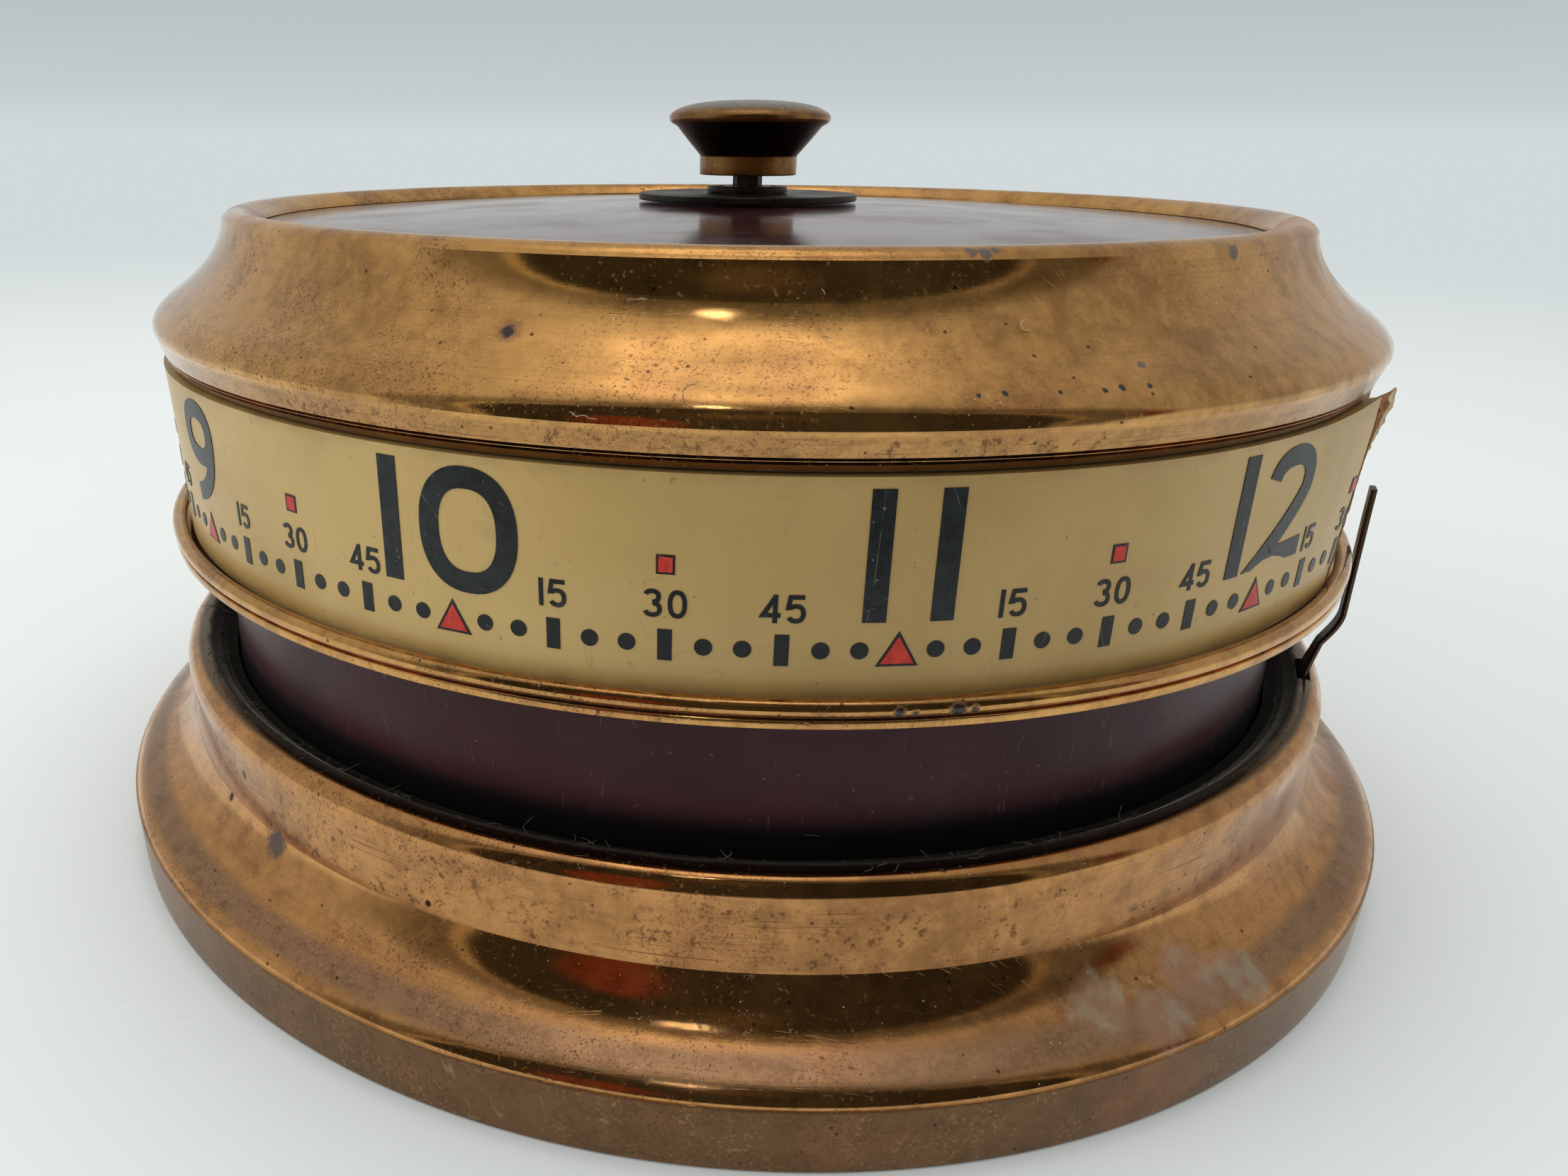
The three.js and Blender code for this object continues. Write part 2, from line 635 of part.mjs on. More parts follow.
// Fixed drum: foot on the lower plate, collar under the ledge, wall, and top web
function fixedDrum() {
  const footZ = lowerTopZ + FIT;
  const footR = DRUM_R - DRUM_FOOT_W;
  const inR = DRUM_R - DRUM_WALL;
  const flangeTop = LIP_Z - LEDGE_DROP - LEDGE_T - FIT;
  const outline = [
    [footR, footZ],
    [DRUM_R, footZ],
    [DRUM_R, flangeTop - DRUM_WALL],
    [DRUM_R + DRUM_FLANGE_W, flangeTop - DRUM_WALL],
    [DRUM_R + DRUM_FLANGE_W, flangeTop],
    [DRUM_R, flangeTop],
    [DRUM_R, drumTopZ],
    [DRUM_TOP_HOLE_R, drumTopZ],
    [DRUM_TOP_HOLE_R, drumTopZ - DRUM_WALL],
    [inR, drumTopZ - DRUM_WALL],
    [inR, footZ + DRUM_WALL],
    [footR, footZ + DRUM_WALL],
  ];
  const drill = (radius, z, place) => rod(radius + FIT, z - OVERRUN, z + DRUM_WALL + OVERRUN, place);
  const holes = drumScrewPlaces.map((place) => drill(DRUM_SCREW_R, footZ, place));
  holes.push(drill(POINTER_SCREW_R, flangeTop - DRUM_WALL, pointerScrewPlace()));
  return cut(turned(outline, RING_STEPS), ...holes);
}

function drumScrew(place) {
  const headTop = LOWER_PLATE_Z - FIT;
  const end = lowerTopZ + FIT + DRUM_WALL + FIT;
  const outline = [
    [0, headTop - SCREW_HEAD_H],
    [SCREW_HEAD_R, headTop - SCREW_HEAD_H],
    [SCREW_HEAD_R, headTop],
    [DRUM_SCREW_R, headTop],
    [DRUM_SCREW_R, end],
    [0, end],
  ];
  return turned(outline, PIN_STEPS).translate(place.x, place.y, 0);
}

function pointerScrewPlace() {
  const rootIn = lipMidR - POINTER_ROOT_IN - POINTER_T / 2;
  return placed(centre, rootIn - POINTER_TAB_W / 2, POINTER_AZIMUTH);
}

function pointerTabTopZ() {
  return LIP_Z - LEDGE_DROP - LEDGE_T - FIT - DRUM_WALL - FIT;
}

// A strip bent in the plane of radius and height, of even thickness and the width given
function bentStrip(path, width) {
  const points = path.map(([r, z]) => new THREE.Vector2(r, z));
  const side = (sign) =>
    points.map((point, i) => {
      const before = points[Math.max(i - 1, 0)];
      const after = points[Math.min(i + 1, points.length - 1)];
      const a = point.clone().sub(before).normalize();
      const b = after.clone().sub(point).normalize();
      const along = a.clone().add(b).normalize();
      const reach = POINTER_T / 2 / Math.sqrt((1 + (i > 0 && i < points.length - 1 ? a.dot(b) : 1)) / 2);
      return point.clone().add(new THREE.Vector2(-along.y, along.x).multiplyScalar(sign * reach));
    });
  const shape = new THREE.Shape([...side(1), ...side(-1).reverse()]);
  const strip = new THREE.ExtrudeGeometry(shape, { depth: width, bevelEnabled: false });
  return strip.translate(0, 0, -width / 2).rotateX(Math.PI / 2).rotateZ(radians(POINTER_AZIMUTH));
}

// Pointer: tab under the drum's collar, root up through the slot, then out and up past the dial
function pointer() {
  const rootR = lipMidR - POINTER_ROOT_IN;
  const tabZ = pointerTabTopZ() - POINTER_T / 2;
  const rootTop = LIP_Z + LIP_R;
  const root = bentStrip(
    [
      [rootR - POINTER_TAB_W, tabZ],
      [rootR, tabZ],
      [rootR, rootTop],
    ],
    POINTER_ROOT_W,
  );
  const blade = bentStrip(
    [
      [rootR, rootTop - POINTER_W / 2],
      [rootR, rootTop],
      [rootR + POINTER_KNEE[0], POINTER_KNEE[1]],
      [rootR + POINTER_ELBOW[0], POINTER_ELBOW[1]],
      [rootR + POINTER_TIP[0], POINTER_TIP[1]],
    ],
    POINTER_W,
  );
  const hole = rod(POINTER_SCREW_R + FIT, tabZ - OVERRUN, tabZ + OVERRUN, pointerScrewPlace());
  return cut(joined(root, blade), hole);
}

function pointerScrew() {
  const headTop = pointerTabTopZ() - POINTER_T - FIT;
  const outline = [
    [0, headTop - SCREW_HEAD_H],
    [POINTER_SCREW_HEAD_R, headTop - SCREW_HEAD_H],
    [POINTER_SCREW_HEAD_R, headTop],
    [POINTER_SCREW_R, headTop],
    [POINTER_SCREW_R, LIP_Z - LEDGE_DROP - LEDGE_T - FIT],
    [0, LIP_Z - LEDGE_DROP - LEDGE_T - FIT],
  ];
  const place = pointerScrewPlace();
  return turned(outline, PIN_STEPS).translate(place.x, place.y, 0);
}

// Rim shell: skirt, torus, concave stretch and rolled edge, with the lid's shelf inside
function rimShell() {
  const mid = skirtR - TORUS_IN;
  const torusZ = skirtZ + TORUS_H;
  const skirtMeets = -(Math.acos(TORUS_IN / TORUS_R) * 180) / Math.PI;
  const rollMidR = skirtR - SCOOP_TOP[0] - RIM_ROLL_R;
  const rollMidZ = rimTopZ - RIM_ROLL_R;
  const shelfR = rollMidR - RIM_ROLL_R - RIM_WALL;
  const outline = [
    [skirtR - RIM_WALL, skirtZ],
    [skirtR, skirtZ],
    ...arc(mid, torusZ, TORUS_R, skirtMeets, TORUS_TOP, 5),
    ...scoop(0, 5),
    ...arc(rollMidR, rollMidZ, RIM_ROLL_R, 45, 180, 2),
    [shelfR, lidEdgeZ],
    [shelfR, shelfZ],
    [shelfR - RIM_SHELF_W, shelfZ],
    [shelfR - RIM_SHELF_W, shelfZ - RIM_SHELF_T],
    [shelfR + RIM_WALL, shelfZ - RIM_SHELF_T],
    ...scoop(RIM_WALL, 4).slice(0, 3).reverse(),
    ...arc(mid, torusZ, TORUS_R - RIM_WALL, TORUS_TOP, TORUS_INNER_FOOT, 2),
  ];
  return turned(outline, RING_STEPS);
}

function lidDisc() {
  const edgeR = lidEdgeR();
  const rise = (r) => lidEdgeZ + LID_DOME * (1 - (r / edgeR) ** 2);
  const radii = [pipeTopR + FIT, WASHER_R, edgeR / 2, (edgeR * 3) / 4, edgeR];
  const top = radii.map((r) => [r, r <= WASHER_R ? rise(WASHER_R) : rise(r)]);
  const under = top.map(([r, z]) => [r, z - LID_T]).reverse();
  return turned([...top, ...under], RING_STEPS);
}

function lidEdgeR() {
  return skirtR - SCOOP_TOP[0] - 2 * RIM_ROLL_R - RIM_WALL - FIT;
}

// Dial carrier: an inverted pan whose web sits on the hub and whose corner carries the rim
function dialCarrier() {
  const outline = [
    [carrierInR, BEAD_RING_Z],
    [carrierR, BEAD_RING_Z],
    [carrierR, webTopZ],
    [pipeTopR + FIT, webTopZ],
    [pipeTopR + FIT, webZ],
    [carrierInR, webZ],
  ];
  return turned(outline, RING_STEPS);
}

function beadRing() {
  const beadR = filmR + BEAD_OUT;
  const lipTop = BEAD_RING_Z + BEAD_LIP_T;
  const beadZ = lipTop + BEAD_R;
  const outline = [
    [carrierR + FIT, BEAD_RING_Z],
    [beadR + BEAD_R - BEAD_GROOVE, BEAD_RING_Z],
    [beadR + BEAD_R - BEAD_GROOVE, lipTop],
    ...arc(beadR, beadZ, BEAD_R, -60, 225, 6),
    [filmR, lipTop + SKIN_GAP],
    [carrierR + FIT, lipTop + SKIN_GAP],
  ];
  return turned(outline, RING_STEPS);
}

// A layer wrapped on the carrier, between the bead ring and the skirt
function wrapped(inR, thickness) {
  const z0 = BEAD_RING_Z + BEAD_LIP_T + SKIN_GAP + FIT;
  return washer(inR, inR + thickness, z0, skirtZ - FIT, centre, RING_STEPS);
}

function dialHub() {
  const z0 = hubTopZ - HUB_H;
  const outline = [
    [PIPE_R + FIT, z0],
    [HUB_COLLAR_R, z0],
    [HUB_COLLAR_R, hubTopZ - HUB_T],
    [HUB_FLANGE_R, hubTopZ - HUB_T],
    [HUB_FLANGE_R, hubTopZ],
    [PIPE_R + FIT, hubTopZ],
  ];
  return turned(outline);
}

// Hour wheel with its long pipe, which carries the hub, the carrier, the lid and the nut
function hourWheel() {
  const bore = STEM_R + FIT;
  const module = (MINUTE_MODULE * (MINUTE_TEETH + CANNON_TEETH)) / (HOUR_TEETH + MINUTE_PINION_TEETH);
  const pipe = turned([
    [bore, hourPipeZ],
    [PIPE_R, hourPipeZ],
    [PIPE_R, hubTopZ],
    [pipeTopR, hubTopZ],
    [pipeTopR, pipeTopZ],
    [bore, pipeTopZ],
  ]);
  const wheel = gear(HOUR_TEETH, module, WHEEL_FORM, hourPhase, hourWheelZ, HOUR_WHEEL_T);
  const wheelTop = hourWheelZ + HOUR_WHEEL_T;
  return joined(cut(wheel, rod(bore + FIT, hourWheelZ - OVERRUN, wheelTop + OVERRUN)), pipe);
}

function minuteWheel() {
  const z0 = cannonZ + (CANNON_H - MINUTE_WHEEL_T) / 2;
  const pinionZ = hourWheelZ + (HOUR_WHEEL_T - MINUTE_PINION_H) / 2;
  const module = (MINUTE_MODULE * (MINUTE_TEETH + CANNON_TEETH)) / (HOUR_TEETH + MINUTE_PINION_TEETH);
  const wheel = gear(MINUTE_TEETH, MINUTE_MODULE, WHEEL_FORM, minutePhase, z0, MINUTE_WHEEL_T);
  const hubR = (module * MINUTE_PINION_TEETH) / 2 - PINION_FORM.dedendum * module;
  const hub = rod(hubR, z0, pinionZ + MINUTE_PINION_H);
  const pinion = gear(MINUTE_PINION_TEETH, module, PINION_FORM, 0, pinionZ, MINUTE_PINION_H);
  const bore = rod(MINUTE_POST_R + FIT, z0 - OVERRUN, pinionZ + MINUTE_PINION_H + OVERRUN);
  return cut(joined(wheel, hub, pinion), bore).translate(minutePlace.x, minutePlace.y, 0);
}

function cannonPinion() {
  const blank = gear(CANNON_TEETH, MINUTE_MODULE, PINION_FORM, 0, cannonZ, CANNON_H);
  return cut(blank, rod(STEM_R + FIT, cannonZ - OVERRUN, cannonZ + CANNON_H + OVERRUN));
}

// Setting arbor: from its pivot in the lower plate, up through the train and the pipe, to the knob
function settingArbor() {
  const collarZ = clutchCollarZ();
  return turned(
    [
      [0, LOWER_PLATE_Z + FIT],
      [TRAIN_PIVOT_R, LOWER_PLATE_Z + FIT],
      [TRAIN_PIVOT_R, lowerTopZ + FIT],
      [ARBOR_LOW_R, lowerTopZ + FIT],
      [ARBOR_LOW_R, collarZ],
      [CLUTCH_COLLAR_R, collarZ],
      [CLUTCH_COLLAR_R, collarZ + CLUTCH_COLLAR_T],
      [STEM_R, collarZ + CLUTCH_COLLAR_T],
      [STEM_R, knobZ + KNOB_BORE_H - FIT],
      [0, knobZ + KNOB_BORE_H - FIT],
    ],
    PIN_STEPS,
  );
}

function clutchZ() {
  return lowerTopZ + CENTRE_LIFT + CENTRE_T + FIT;
}

function clutchCollarZ() {
  return clutchZ() + 2 * CLUTCH_T + FIT;
}

// Clutch spring: a bowed washer between the centre wheel and the arbor's collar
function clutchSpring() {
  const z0 = clutchZ();
  const inR = ARBOR_LOW_R + FIT;
  return turned([
    [CLUTCH_R, z0],
    [CLUTCH_R, z0 + CLUTCH_T],
    [inR, z0 + 2 * CLUTCH_T],
    [inR, z0 + CLUTCH_T],
  ]);
}

function topWasher() {
  return washer(pipeTopR + FIT, WASHER_R, washerZ, washerZ + WASHER_T, centre, RING_STEPS);
}

function topNut() {
  return washer(pipeTopR + FIT, TOP_NUT_R, topNutZ, topNutZ + TOP_NUT_H);
}

function knob() {
  const boreR = STEM_R + FIT;
  const coneZ = knobZ + KNOB_COLLAR_H;
  const edgeZ = coneZ + KNOB_CONE_H;
  const dome = [];
  for (const share of KNOB_DOME_SHARES) {
    dome.push([KNOB_R * share, edgeZ + KNOB_DOME_H * (1 - share ** KNOB_DOME_POWER)]);
  }
  const outline = [
    [boreR, knobZ],
    [KNOB_COLLAR_R, knobZ],
    [KNOB_COLLAR_R, coneZ],
    ...arc(KNOB_R - KNOB_EDGE_R, edgeZ, KNOB_EDGE_R, -45, 20, 2),
    ...dome,
    [0, knobZ + KNOB_BORE_H],
    [boreR, knobZ + KNOB_BORE_H],
  ];
  return turned(outline);
}

// An arbor with a pivot in each plate
function trainArbor() {
  return turned(
    [
      [0, LOWER_PLATE_Z + FIT],
      [TRAIN_PIVOT_R, LOWER_PLATE_Z + FIT],
      [TRAIN_PIVOT_R, lowerTopZ + FIT],
      [TRAIN_ARBOR_R, lowerTopZ + FIT],
      [TRAIN_ARBOR_R, upperZ - FIT],
      [TRAIN_PIVOT_R, upperZ - FIT],
      [TRAIN_PIVOT_R, upperTopZ - FIT],
      [0, upperTopZ - FIT],
    ],
    PIN_STEPS,
  );
}

function pinionBy(teeth, module, phase, wheelLift, wheelT) {
  const z0 = lowerTopZ + wheelLift - PINION_OVERHANG;
  return gear(teeth, module, PINION_FORM, phase, z0, wheelT + 2 * PINION_OVERHANG);
}

function centreWheel() {
  const boreR = ARBOR_LOW_R + FIT;
  const wheelZ = lowerTopZ + CENTRE_LIFT;
  const tube = rod(boreR + CENTRE_TUBE_WALL, lowerTopZ + FIT, wheelZ + CENTRE_T);
  const wheel = gear(CENTRE_TEETH, CENTRE_MODULE, WHEEL_FORM, 0, wheelZ, CENTRE_T);
  const pinion = pinionBy(CENTRE_PINION_TEETH, GREAT_MODULE, centrePinionPhase, GREAT_LIFT, GREAT_T);
  return cut(joined(tube, wheel, pinion), rod(boreR, lowerTopZ, wheelZ + CENTRE_T + OVERRUN));
}

function thirdWheel() {
  const wheel = gear(THIRD_TEETH, THIRD_MODULE, WHEEL_FORM, 0, lowerTopZ + THIRD_LIFT, THIRD_T);
  const pinion = pinionBy(THIRD_PINION_TEETH, CENTRE_MODULE, thirdPinionPhase, CENTRE_LIFT, CENTRE_T);
  return joined(trainArbor(), wheel, pinion).translate(thirdPlace.x, thirdPlace.y, 0);
}

function fourthWheel() {
  const wheel = gear(FOURTH_TEETH, FOURTH_MODULE, WHEEL_FORM, 0, lowerTopZ + FOURTH_LIFT, FOURTH_T);
  const pinion = pinionBy(FOURTH_PINION_TEETH, THIRD_MODULE, fourthPinionPhase, THIRD_LIFT, THIRD_T);
  return joined(trainArbor(), wheel, pinion).translate(fourthPlace.x, fourthPlace.y, 0);
}

// Escape wheel: pointed teeth that lean, set so that both pallets stand beside a tooth
function escapeWheel() {
  const pitch = 360 / ESCAPE_TEETH;
  const phase = LEVER_AZIMUTH + PALLET_SPAN + pitch / 4;
  const outline = [];
  for (let i = 0; i < ESCAPE_TEETH; i += 1) {
    const corners = [
      [ESCAPE_R - ESCAPE_TOOTH_DEPTH, ESCAPE_FORM.rootStart],
      [ESCAPE_R - ESCAPE_TOOTH_DEPTH, ESCAPE_FORM.rootEnd],
      [ESCAPE_R, ESCAPE_FORM.tipStart],
      [ESCAPE_R, ESCAPE_FORM.tipEnd],
    ];
    for (const [radius, share] of corners) {
      const turn = radians(phase + (i + share) * pitch);
      outline.push([radius * Math.cos(turn), radius * Math.sin(turn)]);
    }
  }
  const wheel = plate(outline, lowerTopZ + ESCAPE_LIFT, ESCAPE_T);
  const pinion = pinionBy(ESCAPE_PINION_TEETH, FOURTH_MODULE, escapePinionPhase, FOURTH_LIFT, FOURTH_T);
  return joined(trainArbor(), wheel, pinion).translate(escapePlace.x, escapePlace.y, 0);
}

// Pallet lever: two pallets that straddle the escape wheel, and a fork towards the balance
function palletLever() {
  const z0 = lowerTopZ + ESCAPE_LIFT;
  const forkReach = BALANCE_REACH - FORK_CLEARANCE - FORK_HORN_L;
  const forkRoot = placed(leverPlace, forkReach, LEVER_AZIMUTH);
  const pieces = [trainArbor().translate(leverPlace.x, leverPlace.y, 0)];
  for (const side of [-1, 1]) {
    const azimuth = LEVER_AZIMUTH + side * PALLET_SPAN;
    const tip = placed(escapePlace, ESCAPE_R + PALLET_LIFT, azimuth);
    const top = placed(tip, ESCAPE_R / 3, azimuth);
    pieces.push(bar(tip, top, PALLET_W, z0, ESCAPE_T));
    pieces.push(bar(placed(tip, ESCAPE_R / 4, azimuth), leverPlace, LEVER_ARM_W, z0, ESCAPE_T));
    const horn = placed(forkRoot, FORK_W / 2, LEVER_AZIMUTH + 90 * side);
    pieces.push(bar(horn, placed(horn, FORK_HORN_L, LEVER_AZIMUTH), FORK_HORN_W, z0, ESCAPE_T));
  }
  pieces.push(bar(leverPlace, forkRoot, LEVER_ARM_W, z0, ESCAPE_T));
  const across = (FORK_W + FORK_HORN_W) / 2;
  pieces.push(
    bar(
      placed(forkRoot, across, LEVER_AZIMUTH + 90),
      placed(forkRoot, across, LEVER_AZIMUTH - 90),
      LEVER_ARM_W,
      z0,
      ESCAPE_T,
    ),
  );
  return joined(...pieces);
}

// Balance: rim, two spokes, pointed staff, roller and impulse pin
function balanceWheel() {
  const z0 = lowerTopZ + BALANCE_LIFT;
  const lowTip = lowerTopZ + BALANCE_SCREW_REACH - STAFF_POINT_H / 2 + FIT;
  const highTip = upperZ - BALANCE_SCREW_REACH + STAFF_POINT_H / 2 - FIT;
  const staff = turned(
    [
      [0, lowTip],
      [STAFF_R, lowTip + STAFF_POINT_H],
      [STAFF_R, highTip - STAFF_POINT_H],
      [0, highTip],
    ],
    PIN_STEPS,
  );
  const rim = washer(BALANCE_R - BALANCE_RIM_W, BALANCE_R, z0, z0 + BALANCE_T);
  const spokeReach = BALANCE_R - BALANCE_RIM_W / 2;
  const spoke = bar(
    placed(centre, spokeReach, LEVER_AZIMUTH + 90),
    placed(centre, spokeReach, LEVER_AZIMUTH - 90),
    BALANCE_SPOKE_W,
    z0,
    BALANCE_T,
  );
  const rollerZ = lowerTopZ + ESCAPE_LIFT + ESCAPE_T + FIT;
  const roller = rod(ROLLER_R, rollerZ, rollerZ + ROLLER_T);
  const pinPlace = placed(centre, IMPULSE_PIN_REACH, LEVER_AZIMUTH + 180);
  const pin = rod(IMPULSE_PIN_R, rollerZ - FIT - ESCAPE_T, rollerZ + ROLLER_T / 2, pinPlace);
  return joined(staff, rim, spoke, roller, pin).translate(balancePlace.x, balancePlace.y, 0);
}

// Balance screw: a headed screw in a plate, whose cup takes the point of the staff
function balanceScrew(headZ, towards) {
  const tipZ = headZ + towards * (PLATE_T + FIT + BALANCE_SCREW_REACH);
  const outline = [
    [0, headZ - towards * SCREW_HEAD_H],
    [SCREW_HEAD_R + FIT, headZ - towards * SCREW_HEAD_H],
    [SCREW_HEAD_R + FIT, headZ],
    [BALANCE_SCREW_R, headZ],
    [BALANCE_SCREW_R, tipZ],
    [BALANCE_CUP_R, tipZ],
    [0, tipZ - towards * (STAFF_POINT_H + FIT)],
  ];
  return turned(outline, PIN_STEPS).translate(balancePlace.x, balancePlace.y, 0);
}

function hairspring() {
  const inR = STAFF_R + FIT + HAIRSPRING_T;
  const startAzimuth = STUD_AZIMUTH - 360 * (HAIRSPRING_TURNS % 1);
  const outline = spiral(inR, HAIRSPRING_R, HAIRSPRING_TURNS, HAIRSPRING_T, startAzimuth, SPIRAL_STEPS);
  const z0 = lowerTopZ + HAIRSPRING_LIFT;
  return plate(outline, z0, HAIRSPRING_H).translate(balancePlace.x, balancePlace.y, 0);
}

function hairspringStud() {
  return rod(STUD_R, lowerTopZ + HAIRSPRING_LIFT - FIT, upperTopZ, studPlace);
}

// Regulator: a ring round the upper balance screw, an arm, and a pin down beside the hairspring
function regulator() {
  const z0 = upperZ - FIT - REGULATOR_T;
  const inR = BALANCE_SCREW_R + FIT;
  const ring = washer(inR, inR + REGULATOR_RING_W, z0, z0 + REGULATOR_T);
  const arm = bar(
    placed(centre, inR + REGULATOR_RING_W / 2, REGULATOR_AZIMUTH),
    placed(centre, REGULATOR_ARM, REGULATOR_AZIMUTH),
    REGULATOR_ARM_W,
    z0,
    REGULATOR_T,
  );
  const pinPlace = placed(centre, hairspringEndR + FIT + CURB_PIN_R, REGULATOR_AZIMUTH);
  const pin = rod(CURB_PIN_R, lowerTopZ + HAIRSPRING_LIFT, z0 + REGULATOR_T / 2, pinPlace);
  return joined(ring, arm, pin).translate(balancePlace.x, balancePlace.y, 0);
}

// Great wheel, loose on the winding arbor, with the studs of the click and its spring below
function greatWheel() {
  const z0 = lowerTopZ + GREAT_LIFT;
  const wheel = gear(GREAT_TEETH, GREAT_MODULE, WHEEL_FORM, greatPhase, z0, GREAT_T);
  const stud = rod(CLICK_STUD_R, ratchetZ(), z0 + GREAT_T / 2, clickPlace());
  const bored = cut(wheel, rod(WIND_ARBOR_R + FIT, z0 - OVERRUN, z0 + GREAT_T + OVERRUN));
  return joined(bored, stud).translate(greatPlace.x, greatPlace.y, 0);
}

function ratchetZ() {
  return lowerTopZ + FIT;
}

function clickPlace() {
  return placed(centre, CLICK_REACH, CLICK_AZIMUTH);
}

// Click: an eye round its stud and a beak that drops into the ratchet's teeth. It stands lifted, clear of
// the tips, so that the ratchet turns freely under it.
function click() {
  const z0 = ratchetZ();
  const stud = clickPlace();
  const beak = placed(centre, RATCHET_R + CLICK_LIFT, CLICK_AZIMUTH - CLICK_SPAN);
  const eye = rod(CLICK_W / 2 + FIT, z0, z0 + CLICK_T, stud);
  const side = new THREE.Vector2(stud.y - beak.y, beak.x - stud.x).setLength(CLICK_W / 3);
  const arm = plate(
    [
      [stud.x - side.x, stud.y - side.y],
      [beak.x, beak.y],
      [stud.x + side.x, stud.y + side.y],
    ],
    z0,
    CLICK_T,
  );
  const hole = rod(CLICK_STUD_R + FIT / 2, z0 - OVERRUN, z0 + CLICK_T + OVERRUN, stud);
  return cut(joined(eye, arm), hole).translate(greatPlace.x, greatPlace.y, 0);
}

// Click spring: a leaf held under the great wheel, which lies against the click's back
function clickSpring() {
  const z0 = ratchetZ();
  const stud = clickPlace();
  const root = placed(centre, CLICK_REACH + CLICK_W, CLICK_AZIMUTH + CLICK_SPRING_ROOT_TURN);
  const near = placed(stud, CLICK_W / 2 + 2 * FIT + CLICK_SPRING_T / 2, CLICK_AZIMUTH);
  const foot = rod(CLICK_W / 3, z0, z0 + CLICK_T, root);
  const leaf = bar(root, near, CLICK_SPRING_T, z0, CLICK_T);
  const end = placed(near, CLICK_REACH / 3, CLICK_AZIMUTH + CLICK_SPRING_TIP_TURN);
  const tip = bar(near, end, CLICK_SPRING_T, z0, CLICK_T);
  return joined(foot, leaf, tip).translate(greatPlace.x, greatPlace.y, 0);
}

function ratchetWheel() {
  const pitch = 360 / RATCHET_TEETH;
  const outline = [];
  for (let i = 0; i < RATCHET_TEETH; i += 1) {
    const corners = [
      [RATCHET_R - RATCHET_DEPTH, RATCHET_FORM.root],
      [RATCHET_R, RATCHET_FORM.tipStart],
      [RATCHET_R, RATCHET_FORM.tipEnd],
    ];
    for (const [radius, share] of corners) {
      const turn = radians(CLICK_AZIMUTH - CLICK_SPAN + (i + share - RATCHET_FORM.lead) * pitch);
      outline.push([radius * Math.cos(turn), radius * Math.sin(turn)]);
    }
  }
  const z0 = ratchetZ();
  const blank = plate(outline, z0, RATCHET_T);
  const bored = cut(blank, rod(WIND_ARBOR_R + FIT, z0 - OVERRUN, z0 + RATCHET_T + OVERRUN));
  return bored.translate(greatPlace.x, greatPlace.y, 0);
}

function windingArbor() {
  const endZ = KEY_TABLE_GAP + KEY_FLOOR_T;
  const outline = [
    [0, endZ],
    [WIND_PIN_R, endZ],
    [WIND_PIN_R, ratchetZ()],
    [WIND_ARBOR_R, ratchetZ()],
    [WIND_ARBOR_R, upperZ - FIT],
    [WIND_PIN_R, upperZ - FIT],
    [WIND_PIN_R, upperTopZ - FIT],
    [0, upperTopZ - FIT],
  ];
  return turned(outline, PIN_STEPS).translate(greatPlace.x, greatPlace.y, 0);
}

// Winding key: a flat wing on a hub, in the hollow under the cover
function windingKey() {
  const top = COVER_FLOOR_Z - FIT;
  const hub = rod(KEY_HUB_R, KEY_TABLE_GAP, top);
  const half = new THREE.Vector2(0, KEY_SPAN / 2);
  const wing = bar(half.clone().negate(), half, KEY_WING_T, KEY_TABLE_GAP, top - KEY_TABLE_GAP);
  const bore = rod(WIND_PIN_R + FIT, KEY_TABLE_GAP + KEY_FLOOR_T - FIT, top + OVERRUN);
  return cut(joined(hub, wing), bore).translate(greatPlace.x, greatPlace.y, 0);
}

// Mainspring: an open spiral from the arbor out to an eye round its post
function mainspring() {
  const z0 = lowerTopZ + SPRING_LIFT;
  const inR = WIND_ARBOR_R + FIT + SPRING_T;
  const endAzimuth = SPRING_POST_AZIMUTH + SPRING_END_TURN;
  const outline = spiral(inR, SPRING_R, SPRING_TURNS, SPRING_T, endAzimuth, SPIRAL_STEPS);
  const strip = plate(outline, z0, SPRING_H).translate(greatPlace.x, greatPlace.y, 0);
  const eyeR = SPRING_POST_R + FIT;
  const eye = washer(eyeR, eyeR + SPRING_T, z0, z0 + SPRING_H, springPostPlace, PIN_STEPS);
  const end = placed(greatPlace, SPRING_R, endAzimuth);
  const away = Math.atan2(end.y - springPostPlace.y, end.x - springPostPlace.x);
  const meet = placed(springPostPlace, eyeR + SPRING_T / 2, (away * 180) / Math.PI);
  return joined(strip, eye, bar(end, meet, SPRING_T, z0, SPRING_H));
}

function springPost() {
  const outline = [
    [0, LOWER_PLATE_Z],
    [PILLAR_PIN_R, LOWER_PLATE_Z],
    [PILLAR_PIN_R, lowerTopZ + FIT],
    [SPRING_POST_R, lowerTopZ + FIT],
    [SPRING_POST_R, upperZ - FIT],
    [PILLAR_PIN_R, upperZ - FIT],
    [PILLAR_PIN_R, upperTopZ],
    [0, upperTopZ],
  ];
  return turned(outline, PIN_STEPS).translate(springPostPlace.x, springPostPlace.y, 0);
}

// Finishes: colour, roughness, metalness
const COPPER = [0x7a5638, 0.42, 0.9];
const BURGUNDY = [0x2a0f14, 0.25, 0.1];
const DARK_STEEL = [0x2e2c2b, 0.45, 0.8];
const STEEL = [0x9a9a98, 0.35, 0.9];
const BRASS = [0xb8934a, 0.35, 0.9];
const BROWN_METAL = [0x3b2a20, 0.5, 0.7];
const PAPER = [0xcfc3a8, 0.8, 0];
const FILM = [0xd8cfb8, 0.15, 0];
const TIN = [0x8d8a84, 0.5, 0.7];

const clock = new THREE.Group();

